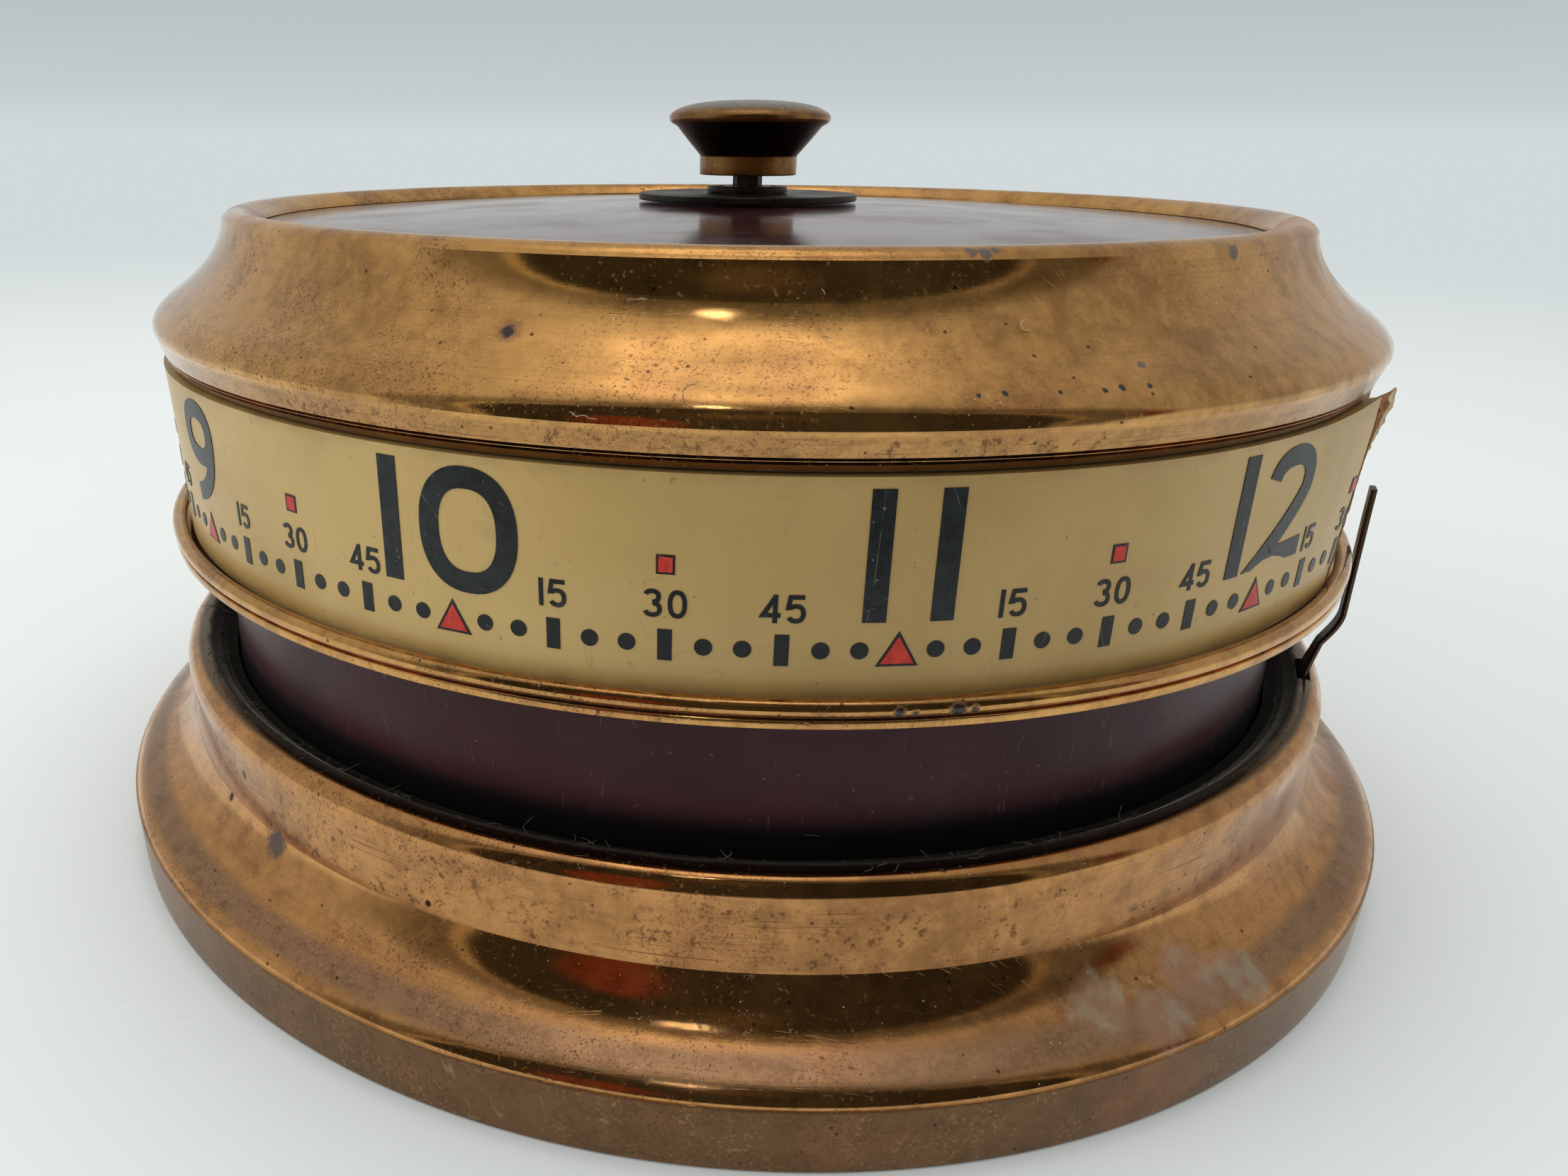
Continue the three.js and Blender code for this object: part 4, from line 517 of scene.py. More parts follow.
def print_ink(name, color, edge_color, wear):
    """Printed ink with a mottled body, pale hairline cracks and worn flecks."""
    tree = material(name)
    body = tree.noise(1.2, 5, 0.65)
    tree.color = tree.mix(body.fade(0.35, 0.7), color, edge_color)
    cracked_at = tree.scaled(tree.place, (1.0, 1.0, 0.6))
    crack = tree.cells(0.22, "DISTANCE_TO_EDGE", cracked_at).fall(0.0, 0.006)
    crack = crack * tree.noise(0.4, 2).fade(0.48, 0.6)
    tree.paint(crack * wear, (0.30, 0.27, 0.20))
    tree.paint(tree.noise(3.2, 3, 0.6).fade(0.68, 0.73, 0.0, wear), (0.34, 0.29, 0.2))
    return tree.show(tree.principled(
        Roughness=0.4, Normal=tree.bump(body - crack, 0.2, 0.00005),
        Specular_IOR_Level=0.2, Coat_Weight=0.18, Coat_Roughness=0.12,
    ))


# Turned pieces

def arc(mid, radius, start, end, steps):
    points = []
    for i in range(steps + 1):
        turn = math.radians(start + (end - start) * i / steps)
        points.append((mid[0] + radius * math.cos(turn), mid[1] + radius * math.sin(turn)))
    return points


def blend_curve(start, pull, end, steps):
    points = []
    for i in range(steps + 1):
        t = i / steps
        points.append(tuple(
            (1 - t) ** 2 * a + 2 * t * (1 - t) * b + t * t * c for a, b, c in zip(start, pull, end)
        ))
    return points


def link(name, vertices, faces, uvs=None):
    mesh = bpy.data.meshes.new(name)
    mesh.from_pydata(vertices, [], faces)
    mesh.validate()
    mesh.update()
    if uvs is not None:
        layer = mesh.uv_layers.new(name="outline")
        for loop in mesh.loops:
            layer.data[loop.index].uv = uvs[loop.vertex_index]
    return add_object(name, mesh)


def smooth(obj, degrees=SHARP_DEGREES):
    mesh = obj.data
    for face in mesh.polygons:
        face.use_smooth = True
    mesh.set_sharp_from_angle(angle=math.radians(degrees))


def anticlockwise(outline):
    area = sum(a[0] * b[1] - b[0] * a[1] for a, b in zip(outline, outline[1:] + outline[:1]))
    return outline[::-1] if area < 0 else outline


def next_pairs(count):
    """Each number below count with the one after it, round to 0."""
    return [(i, (i + 1) % count) for i in range(count)]


def prism_faces(start, count):
    """Faces of a prism whose first end is count vertices from start on, and whose second end follows."""
    ends = [tuple(range(start, start + count)), tuple(reversed(range(start + count, start + 2 * count)))]
    return ends + [(start + i, start + count + i, start + count + k, start + k) for i, k in next_pairs(count)]


def tube_faces(start, rings, sides):
    """Faces of a closed tube of rings of vertices from start on."""
    faces = []
    for ring in range(rings - 1):
        a, b = start + ring * sides, start + (ring + 1) * sides
        faces += [(a + k, a + n, b + n, b + k) for k, n in next_pairs(sides)]
    last = start + (rings - 1) * sides
    return faces + [tuple(reversed(range(start, start + sides))), tuple(range(last, last + sides))]


def turned(name, outline, steps=TURN_STEPS, place=(0.0, 0.0), wobble=None):
    """A closed outline of (radius, height) points, in mm, turned about Z."""
    outline = anticlockwise(outline)
    run, length = [], 0.0
    for i, point in enumerate(outline):
        if i:
            length += math.dist(point, outline[i - 1])
        run.append(length)
    vertices, uvs, rows = [], [], []
    for (radius, z), reach in zip(outline, run):
        if radius < 1e-6:  # a point on the axis is one vertex
            rows.append([len(vertices)] * steps)
            vertices.append((place[0] * MM, place[1] * MM, z * MM))
            uvs.append((0.5, reach))
            continue
        row = []
        for i in range(steps):
            turn = 2 * math.pi * i / steps
            r, h = (radius, z) if wobble is None else wobble(radius, z, turn)
            row.append(len(vertices))
            x, y = place[0] + r * math.cos(turn), place[1] + r * math.sin(turn)
            vertices.append((x * MM, y * MM, h * MM))
            uvs.append((i / steps, reach))
        rows.append(row)
    faces = []
    for a, b in zip(rows, rows[1:] + rows[:1]):
        for i, k in next_pairs(steps):
            corners = [a[i], a[k], b[k], b[i]]
            corners = [v for n, v in enumerate(corners) if v not in corners[:n]]
            if len(corners) > 2:
                faces.append(corners)
    obj = link(name, vertices, faces, uvs)
    smooth(obj)
    return obj


def wear(obj, mat):
    obj.data.materials.clear()
    obj.data.materials.append(mat)


def finish_piece(obj, body, mat, nodes=()):
    wear(obj, mat)
    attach(obj, body)
    if nodes:
        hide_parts(*nodes)


def apply_modifier(obj, kind, **settings):
    modifier = obj.modifiers.new("change", kind)
    for key, value in settings.items():
        setattr(modifier, key, value)
    with bpy.context.temp_override(object=obj, active_object=obj, selected_objects=[obj]):
        bpy.ops.object.modifier_apply(modifier="change")


def cut_away(obj, cutter):
    apply_modifier(obj, "BOOLEAN", operation="DIFFERENCE", solver="EXACT", object=cutter)
    bpy.data.objects.remove(cutter)


def block(name, low, high, azimuth=0.0):
    corners = [(x, y, z) for x in (low[0], high[0]) for y in (low[1], high[1]) for z in (low[2], high[2])]
    turn = Matrix.Rotation(math.radians(azimuth), 4, "Z")
    vertices = [turn @ Vector(c) * MM for c in corners]
    faces = [(0, 1, 3, 2), (4, 6, 7, 5), (0, 4, 5, 1), (2, 3, 7, 6), (0, 2, 6, 4), (1, 5, 7, 3)]
    return link(name, vertices, faces)


def softened(corner, before, after, size, steps=3):
    """Points that round a corner of an outline."""
    a = Vector(before) - Vector(corner)
    b = Vector(after) - Vector(corner)
    start = Vector(corner) + a.normalized() * size
    end = Vector(corner) + b.normalized() * size
    return blend_curve(tuple(start), corner, tuple(end), steps)


def base_shell(mat):
    inner_lip = LIP_R - BASE_WALL
    outline = [
        (56.5, 0.0), *softened((60.25, 0.0), (56.5, 0), (60.3, 1), 0.35), (60.33, 1.4), (60.42, 3.0),
        (60.5, 4.6), (60.52, 4.98), (60.47, 5.09), *blend_curve(SHOULDER_END, SHOULDER_PULL, COVE_END, 14),
        *blend_curve(COVE_END, COVE_PULL, COVE_START, 24)[1:], (COLLAR_R, 12.0), (COLLAR_R + 0.01, 13.4),
        (COLLAR_R + 0.05, 14.6), *arc(LIP_MID, LIP_R, 0, 100, 22), (52.5, 17.33), (52.15, 17.05),
        (51.8, 16.6), (51.3, 16.25), (50.45, 16.1), (50.45, 15.2), (51.6, 15.3),
        *arc(LIP_MID, inner_lip, 170, 0, 6), (53.8, 13.6), *arc(COVE_MID, COVE_R + BASE_WALL, 180, 240, 12),
        (58.6, 5.3), (59.4, 4.9), (59.45, 4.4), (59.35, 0.9), (56.5, 0.9),
    ]
    obj = turned("copper_base", outline)
    slot_box = block("slot_box", (52.66, -2.3, 12.0), (53.72, 2.3, 19.0), POINTER_AZIMUTH)
    cut_away(obj, slot_box)
    smooth(obj, 15)
    finish_piece(obj, "base", mat, ["base_shell"])


def fixed_drum(mat):
    inner = DRUM_R - 0.8
    outline = [
        (44.55, 9.7), (DRUM_R, 9.7), (DRUM_R, 14.0), (52.5, 14.05), (52.5, 14.85), (DRUM_R, 14.85),
        (DRUM_R, 20.0), (DRUM_R, 27.0), (DRUM_R, 40.0),
        *softened((DRUM_R, 44.2), (DRUM_R, 40), (46, 44.2), 0.5),
        (6.05, 44.2), (6.05, 43.5), (inner, 43.5), (inner, 10.5), (44.55, 10.5),
    ]
    finish_piece(turned("burgundy_drum", outline), "base", mat, ["fixed_drum"])


def rim_shell(mat):
    shelf_r = 45.95
    groove = []
    for z in (SKIRT_Z + 0.66, SKIRT_Z + 0.9):
        r = SKIRT_R + 0.29 * (z - SKIRT_Z) + 0.08
        groove += [(r - 0.03, z - 0.1), (r - 0.3, z), (r + 0.03, z + 0.1)]
    outline = [
        (SKIRT_R - 0.8, SKIRT_Z), (SKIRT_R - 0.42, SKIRT_Z), (SKIRT_R - 0.2, SKIRT_Z + 0.1),
        (SKIRT_R + 0.08, SKIRT_Z + 0.42), *groove, (54.38, 45.92), (54.5, 46.12),
        *blend_curve(TORUS_SIDE, TORUS_PULL, SCOOP_FOOT, 18),
        *blend_curve(SCOOP_FOOT, SCOOP_PULL, SCOOP_TOP, 28)[1:],
        *blend_curve((SCOOP_TOP[0] - 0.03, SCOOP_TOP[1] + 0.03), ROLL_PULL, ROLL_TOP, 12),
        *blend_curve(ROLL_TOP, (46.35, 55.46), (45.6, 54.72), 8)[1:], (45.3, 54.4), (45.22, 54.12),
        (shelf_r, 54.1), (shelf_r, 52.9), (43.4, 52.9), (43.4, 52.1), (shelf_r + 0.8, 52.1),
        *[(r - 0.6, z - 0.62) for r, z in blend_curve(SCOOP_FOOT, SCOOP_PULL, SCOOP_TOP, 8)[6:0:-1]],
        (52.6, 47.9), (53.35, 46.9), (53.45, 46.0), (52.8, 44.4),
    ]
    obj = turned("copper_rim", outline)
    smooth(obj, 14)
    finish_piece(obj, "dial_drum", mat, ["rim_shell"])


def bead_ring(mat):
    outline = [
        (52.5, BEAD_Z), *softened((54.6, BEAD_Z), (52.5, BEAD_Z), (54.6, BEAD_Z + 0.5), 0.15),
        *softened((54.6, BEAD_Z + 0.6), (54.6, BEAD_Z), (54.3, BEAD_Z + 0.6), 0.12), (54.3, BEAD_Z + 0.62),
        *arc((54.15, BEAD_Z + 1.25), 0.6, -65, 215, 26), (53.2, BEAD_Z + 0.72), (52.5, BEAD_Z + 0.7),
    ]
    finish_piece(turned("bead_band", outline), "dial_drum", mat, ["bead_ring"])


def lid_disc(mat):
    edge_r, hole_r = 45.63, 2.7
    edge_z, dome = 54.0, 1.62
    top = []
    for i in range(33):
        r = hole_r + (edge_r - hole_r) * i / 32
        top.append((r, edge_z + dome * (1 - (max(r, 10.35) / edge_r) ** 2)))
    top += softened((edge_r, edge_z - 0.02), (edge_r - 1, edge_z), (edge_r, edge_z - 0.5), 0.12)
    outline = top + [(edge_r, edge_z - 0.78), (hole_r, edge_z + dome - 0.85)]
    finish_piece(turned("burgundy_lid", outline), "dial_drum", mat, ["lid_disc"])


def dial_carrier(mat):
    outline = [
        (51.3, 27.9), (52.2, 27.9), (52.2, 47.4), (52.0, 47.6), (2.72, 47.6), (2.72, 46.7), (51.3, 46.7),
    ]
    finish_piece(turned("dial_pan", outline), "dial_drum", mat, ["dial_carrier"])


def lifted_share(azimuth):
    """How far the strip's end has lifted here, from 0 to 1 at the seam."""
    if azimuth > SEAM_AZIMUTH + 0.2:
        return 0.0
    return min(max((azimuth - SEAM_AZIMUTH) / SEAM_RUN + 1, 0.0), 1.0)


def strip_face(azimuth, z):
    """The radius of the strip's face: a slight lean and waves, slack at the left, and the lifted end."""
    share = (z - STRIP_Z[0]) / (STRIP_Z[1] - STRIP_Z[0])
    turn = math.radians(azimuth)
    waves = sum(math.sin(k * turn + k * k) for k in (9, 14, 23, 31)) / 4
    slack = 0.35 * share * share * math.exp(-((azimuth - SLACK_AZIMUTH) / 20) ** 2)
    lift = lifted_share(azimuth) ** 1.6 * (SEAM_LIFT[0] + (SEAM_LIFT[1] - SEAM_LIFT[0]) * share)
    return FILM_R + STRIP_LEAN * share + 0.025 * waves + slack + lift


def dial_strip(mat):
    """The strip with its film, whose loose end makes a step at the seam."""
    step = 360 / TURN_STEPS

    def wave(radius, z, turn):
        if radius < FILM_R - 0.2:
            return radius, z
        azimuth = math.degrees(turn)
        azimuth = azimuth - 360 if azimuth > 180 else azimuth
        if abs(azimuth - SEAM_AZIMUTH) < step / 2:
            azimuth = SEAM_AZIMUTH
        rise = SEAM_RISE * lifted_share(azimuth) ** 2 if z > STRIP_Z[1] - 0.01 else 0.0
        return strip_face(azimuth, z), z + rise

    low, high = STRIP_Z
    rows = 10
    outline = [(52.3, low)] + [(FILM_R, low + (high - low) * i / rows) for i in range(rows)]
    outline += [(FILM_R, high), (52.3, high)]
    obj = turned("dial_strip", outline, wobble=wave)
    finish_piece(obj, "dial_drum", mat, ["dial_paper", "dial_film"])


def thin_sheet(name, rows, thickness, body, mat):
    """A grid of points, in mm, as one thin closed sheet."""
    width = len(rows[0])
    vertices = [tuple(v * MM for v in point) for row in rows for point in row]
    faces = [(j * width + i, j * width + i + 1, (j + 1) * width + i + 1, (j + 1) * width + i)
             for j in range(len(rows) - 1) for i in range(width - 1)]
    obj = link(name, vertices, faces)
    apply_modifier(obj, "SOLIDIFY", thickness=thickness * MM, offset=0)
    smooth(obj, 50)
    finish_piece(obj, body, mat)


def seam(brown_mat, pale_mat, film_mat):
    """The loose end of the strip: its brown edge, the torn backing above, and a curl of film at the foot."""
    rng = random.Random(11)
    edge = []
    steps = 36
    for i in range(steps + 1):
        z = STRIP_Z[0] + 0.15 + (STRIP_Z[1] - STRIP_Z[0] - 0.25) * i / steps
        face = strip_face(SEAM_AZIMUTH, z)
        ragged = rng.uniform(-0.05, 0.06)
        edge.append([
            at(SEAM_AZIMUTH + 0.75 + ragged, face - 0.75, z),
            at(SEAM_AZIMUTH + 0.5 + ragged, face - 0.3, z),
            at(SEAM_AZIMUTH + 0.12, face + 0.05 + 0.5 * ragged, z),
        ])
    thin_sheet("seam_edge", edge, 0.1, "dial_drum", brown_mat)
    torn, fringe = [], []
    steps = 22
    for i in range(steps + 1):
        share = i / steps
        z = 38.0 + 6.0 * share
        face = strip_face(SEAM_AZIMUTH, min(z, STRIP_Z[1])) - 0.25
        out = 0.1 + 1.0 * share ** 1.5 * (1.0 if share < 0.9 else 0.7) + rng.uniform(-0.1, 0.1)
        row = []
        for k in range(8):
            t = k / 7
            radius = min(face + out * t ** 1.5, 55.1)
            row.append(at(SEAM_AZIMUTH + 0.3 + 2.3 * t * (0.35 + 0.65 * share), radius, z + 0.35 * t * t))
        torn.append(row[:7])
        tip_azimuth = SEAM_AZIMUTH + 0.3 + 2.45 * (0.35 + 0.65 * share) + rng.uniform(-0.12, 0.12)
        fringe.append([row[5], row[6], at(tip_azimuth, min(face + out * 1.05, 55.2), z + 0.4)])
    thin_sheet("torn_backing", torn, 0.14, "dial_drum", brown_mat)
    thin_sheet("torn_fringe", fringe, 0.2, "dial_drum", pale_mat)
    curl = []
    for i in range(7):
        swell = 0.2 * (1 + 0.4 * math.sin(i))
        curl.append([
            at(SEAM_AZIMUTH + 0.4 + 0.5 * k, 53.35 + 0.02 * i + swell * math.sin(k * 0.8), 29.85 + 0.36 * i)
            for k in range(6)
        ])
    thin_sheet("film_curl", curl, 0.06, "dial_drum", film_mat)


def fibres(name, places, rng, reach, body, mat, curl=0.9, thick=0.035):
    """Short curly lint fibres, each a thin closed tube that starts at one of the places, in mm."""
    vertices, faces = [], []
    sides, steps = 4, 7
    for start, normal in places:
        normal = Vector(normal).normalized()
        across = normal.orthogonal().normalized()
        along = Matrix.Rotation(rng.uniform(0, 2 * math.pi), 3, normal) @ across
        point = Vector(start) + normal * thick
        first = len(vertices)
        length = rng.uniform(*reach) / steps
        for i in range(steps + 1):
            side = normal.cross(along).normalized()
            up = along.cross(side).normalized()
            for k in range(sides):
                turn = 2 * math.pi * k / sides
                half = thick * (1 if 0 < i < steps else 0.5)
                rim = point + (side * math.cos(turn) + up * math.sin(turn)) * half
                vertices.append(tuple(v * MM for v in rim))
            turned_along = Matrix.Rotation(rng.uniform(-curl, curl), 3, normal) @ along
            along = (turned_along + normal * rng.uniform(-0.2, 0.25)).normalized()
            point = point + along * length
        faces += tube_faces(first, steps + 1, sides)
    obj = link(name, vertices, faces)
    smooth(obj, 60)
    finish_piece(obj, body, mat)


def lint(mat, pale_mat):
    """Dust and lint caught on the ledge, and a few fibres on the rim."""
    rng = random.Random(23)
    ledge = []
    for _ in range(420):
        azimuth = rng.uniform(-180, 180)
        if abs(azimuth - POINTER_AZIMUTH) < 4:
            continue
        inward = abs(rng.gauss(0, 0.35))
        ledge.append((at(azimuth, 52.45 - inward, 17.25 - 1.3 * min(inward, 0.75)), at(azimuth, -0.5, 1.0)))
    fibres("ledge_lint", ledge, rng, (0.8, 2.4), "base", mat, 0.9, 0.03)
    marks = []
    for azimuth, radius, z in LINT_PLACES:
        marks.append((at(azimuth, radius + 0.03, z), at(azimuth, 0.8, 0.6)))
    for _ in range(24):
        azimuth = rng.uniform(-180, 180)
        marks.append((at(azimuth, 50.23, rng.uniform(17.5, 26)), at(azimuth, 1.0, 0.0)))
    on_rim, on_drum = marks[:len(LINT_PLACES)], marks[len(LINT_PLACES):]
    fibres("rim_lint", on_rim, rng, (1.2, 2.2), "dial_drum", pale_mat, 1.0, 0.022)
    fibres("drum_lint", on_drum, rng, (0.5, 1.4), "base", mat, 0.7, 0.02)


# Print: strokes and shapes laid on the dial, in mm along the arc from an hour, and up

def on_dial(hour, x, z, proud):
    azimuth = (TWELVE_AZIMUTH + HOUR_STEP * hour + math.degrees(x / FILM_R) + 180) % 360 - 180
    radius = strip_face(azimuth, z) + proud
    turn = math.radians(azimuth)
    return (radius * math.cos(turn) * MM, radius * math.sin(turn) * MM, z * MM)


def stroke_sides(points, width, closed):
    """The two sides of a pen stroke at each of its points, as flat (x, z) corners."""
    sides = []
    for i, point in enumerate(points):
        before = points[i - 1] if closed or i else point
        after = points[(i + 1) % len(points)] if closed or i < len(points) - 1 else point
        a = Vector(point) - Vector(before)
        b = Vector(after) - Vector(point)
        a = a.normalized() if a.length else b.normalized()
        b = b.normalized() if b.length else a
        along = (a + b).normalized()
        reach = width / 2 / max(math.sqrt((1 + a.dot(b)) / 2), 0.35)
        across = Vector((-along.y, along.x)) * reach
        sides.append((Vector(point) + across, Vector(point) - across))
    return sides


class Print:
    """Collects flat shapes and makes one thin piece of them that wraps the dial."""

    def __init__(self, name, proud=0.05):
        self.name = name
        self.layers = (proud, -PRINT_SUNK)
        self.vertices = []
        self.faces = []

    def slab(self, hour, corners):
        corners = anticlockwise(corners)
        self.faces += prism_faces(len(self.vertices), len(corners))
        for proud in self.layers:
            self.vertices += [on_dial(hour, x, z, proud) for x, z in corners]

    def ribbon(self, hour, points, width, closed=False):
        """A stroke as one welded solid."""
        sides = stroke_sides(points, width, closed)
        start = len(self.vertices)
        for side in sides:
            self.vertices += [on_dial(hour, x, z, proud) for proud in self.layers for x, z in side]
        count = len(sides)
        for i in range(count if closed else count - 1):
            p = start + 4 * i
            q = start + 4 * ((i + 1) % count)
            self.faces += [(p, p + 1, q + 1, q), (p + 2, q + 2, q + 3, p + 3),
                           (p, q, q + 2, p + 2), (p + 1, p + 3, q + 3, q + 1)]
        if not closed:
            p, q = start, start + 4 * (count - 1)
            self.faces += [(p, p + 2, p + 3, p + 1), (q, q + 1, q + 3, q + 2)]

    def disc(self, hour, x, z, radius, steps=20):
        self.slab(hour, arc((x, z), radius, 0, 360 - 360 / steps, steps - 1))

    def make(self, mat):
        finish_piece(link(self.name, self.vertices, self.faces), "dial_drum", mat)


def ellipse(mid, half_w, half_h, start, end, steps):
    """Part of a squarish oval: a superellipse, as on the dial's round figures."""
    power = 2.35
    points = []
    for i in range(steps + 1):
        turn = math.radians(start + (end - start) * i / steps)
        c, s = math.cos(turn), math.sin(turn)
        x = math.copysign(abs(c) ** (2 / power), c) * half_w
        z = math.copysign(abs(s) ** (2 / power), s) * half_h
        points.append((mid[0] + x, mid[1] + z))
    return points


def figure(digit, x, z, h, w, pen):
    """The pen paths of a figure: (points, closed). x is its left side, w its width and h its height."""
    half_w, mid = (w - pen) / 2, x + w / 2
    low, high = z + pen / 2, z + h - pen / 2
    if digit == "1":
        return [([(mid, z), (mid, z + h)], False)]
    if digit in ROUNDS:
        strokes = []
        for aside, up, wide, above, begin, finish, steps in ROUNDS[digit]:
            middle = z + h * up
            tall = high - middle if above else middle - low
            oval = ellipse((mid + aside * w, middle), half_w * wide, tall, begin, finish, steps)
            strokes.append((oval, digit != "3"))
        return strokes
    if digit == "2":
        bend = z + h * 0.69
        bowl = ellipse((mid, bend), half_w, high - bend, 168, -18, 24)
        end = bowl[-1]
        foot = (x + pen * 0.55, low)
        neck = blend_curve(end, (end[0] - 0.12 * w, z + h * 0.44), foot, 8)
        return [(bowl + neck[1:] + [(x + w, low)], False)]
    if digit == "4":
        stem = x + w * 0.72
        bar = z + h * 0.27
        return [([(stem, z), (stem, z + h)], False),
                ([(stem, z + h - pen * 0.4), (x + pen * 0.4, bar), (x + w, bar)], False)]
    if digit == "5":
        bowl_mid = z + h * 0.34
        top = [(x + w * 0.92, high), (x + w * 0.2, high), (x + w * 0.1, z + h * 0.55)]
        bowl = ellipse((mid, bowl_mid), half_w, bowl_mid - low, 128, -152, 30)
        return [(top + bowl, False)]
    if digit in "69":
        ring_mid = z + h * (0.31 if digit == "6" else 0.69)
        ring = ellipse((mid, ring_mid), half_w, h * 0.31 - pen / 2, 0, 360 - 9, 39)
        sign = 1 if digit == "6" else -1
        tail_end = (mid + sign * half_w * 0.75, high if digit == "6" else low)
        side = (mid - sign * half_w, ring_mid)
        pull = (mid - sign * half_w * 0.95, ring_mid + sign * h * 0.52)
        return [(ring, True), (blend_curve(side, pull, tail_end, 14), False)]
    if digit == "7":
        return [([(x, high), (x + w - pen * 0.4, high), (x + w * 0.3, z)], False)]
    raise ValueError(digit)


def write(target, hour, text, middle, z, h, pen, widths, gap):
    sizes = [widths.get(c, widths["other"]) for c in text]
    x = middle - (sum(sizes) + gap * (len(text) - 1)) / 2
    for c, w in zip(text, sizes):
        for points, closed in figure(c, x, z, h, w, pen):
            target.ribbon(hour, points, pen, closed)
        x += w + gap


def rectangle(x, half_w, z, half_h):
    left, right, low, high = x - half_w, x + half_w, z - half_h, z + half_h
    return [(left, low), (right, low), (right, high), (left, high)]


def dial_print(ink_mat, small_mat, red_mat):
    numerals = Print("hour_numerals", 0.06)
    marks = Print("minute_marks")
    red = Print("red_marks", 0.06)
    borders = Print("red_borders", 0.045)
    five = math.radians(HOUR_STEP / 12) * FILM_R
    hour_widths = {"1": 1.4, "0": 6.9, "other": 6.2}
    text_widths = {"1": 0.3, "other": 1.15}
    for hour in range(1, 13):
        gap = 2.7 if hour == 11 else 1.6
        write(numerals, hour, str(hour), NUDGE.get(hour, 0.0), HOUR_Z, HOUR_H, 1.42, hour_widths, gap)
        for step in range(1, 12):
            x = five * step
            if step % 3:
                marks.disc(hour, x, MARK_Z, 0.55)
            else:
                marks.slab(hour, rectangle(x, 0.44, MARK_Z, 1.02))
                write(marks, hour, str(5 * step), x, TEXT_Z, TEXT_H, 0.28, text_widths, 0.32)
        borders.slab(hour, [(-1.3, MARK_Z - 1.05), (1.3, MARK_Z - 1.05), (0, MARK_Z + 1.25)])
        red.slab(hour, [(-1.02, MARK_Z - 0.88), (1.02, MARK_Z - 0.88), (0, MARK_Z + 0.9)])
        x = five * 6
        borders.slab(hour, rectangle(x, 0.56, SQUARE_Z, 0.62))
        red.slab(hour, rectangle(x, 0.42, SQUARE_Z, 0.48))
    numerals.make(ink_mat)
    marks.make(small_mat)
    borders.make(small_mat)
    red.make(red_mat)


# Pointer, knob, washer and the small metal on the lid

def bent_strip(name, path, widths, thickness, azimuth):
    """A strip bent in the plane of radius and height, with a width at each point."""
    sections = []
    for i, point in enumerate(path):
        before = Vector(path[max(i - 1, 0)])
        after = Vector(path[min(i + 1, len(path) - 1)])
        along = (after - before).normalized()
        across = Vector((-along.y, along.x)) * thickness / 2
        half = widths[i] / 2
        edge = min(0.12, half * 0.3)
        ring = []
        for side, inset in ((1, edge), (-1, edge)):
            for y in (-half + inset, half - inset) if side > 0 else (half - inset, -half + inset):
                ring.append((Vector(point) + across * side, y))
        middle = [(Vector(point), half), (Vector(point), -half)]
        sections.append([ring[0], ring[1], middle[0], ring[2], ring[3], middle[1]])
    turn = Matrix.Rotation(math.radians(azimuth), 4, "Z")
    vertices, faces = [], []
    for section in sections:
        for place, y in section:
            vertices.append(turn @ Vector((place.x, y, place.y)) * MM)
    count = 6
    for i in range(len(sections) - 1):
        a, b = i * count, (i + 1) * count
        faces += [(a + k, b + k, b + n, a + n) for k, n in next_pairs(count)]
    faces.append(tuple(range(count)))
    last = (len(sections) - 1) * count
    faces.append(tuple(last + k for k in reversed(range(count))))
    obj = link(name, vertices, faces)
    smooth(obj, 40)
    return obj


def pointer(mat):
    root = 53.18
    key = [(50.9, 13.35), (root - 0.35, 13.35)]
    bend = blend_curve((root - 0.35, 13.35), (root, 13.35), (root, 13.7), 4)[1:]
    rise = [(root, 15.0), (root, 16.6)]
    knee = blend_curve((root, 17.0), (root + 0.05, 17.6), (root + 0.3, 18.4), 4)
    slope = [(54.0, 20.3)]
    elbow = blend_curve((54.35, 20.9), (55.2, 22.3), (55.26, 23.2), 6)
    blade = [(55.33, 26.0), (55.42, 29.0), (55.5, 32.0), (55.58, 34.3)]
    path = key + bend + rise + knee + slope + elbow + blade
    widths = []
    for r, z in path:
        share = min(max((z - 17.0) / 3.0, 0.0), 1.0)
        widths.append(3.1 - 1.3 * share - 0.2 * max(0.0, (z - 22) / 12.4))
    obj = bent_strip("pointer_strip", path, widths, 0.45, POINTER_AZIMUTH)
    finish_piece(obj, "base", mat, ["pointer"])


def knob(mat):
    z0 = 58.05
    outline = [
        (1.7, z0 + 0.15), (2.0, z0), *softened((4.58, z0), (2, z0), (4.58, z0 + 1), 0.18), (4.58, z0 + 0.9),
        *softened((4.58, z0 + 1.75), (4.58, z0), (5.2, z0 + 2.6), 0.12), (5.9, z0 + 3.28), (6.8, z0 + 4.36),
        *arc((6.98, z0 + 5.12), 0.58, -46, 50, 12),
        *blend_curve((7.32, z0 + 5.59), (5.9, z0 + 6.74), (0.0, z0 + 6.74), 20)[1:], (0.0, z0 + 4.2),
        (1.7, z0 + 4.2),
    ]
    obj = turned("copper_knob", outline, SMALL_STEPS * 2)
    finish_piece(obj, "setting_knob", mat, ["knob"])


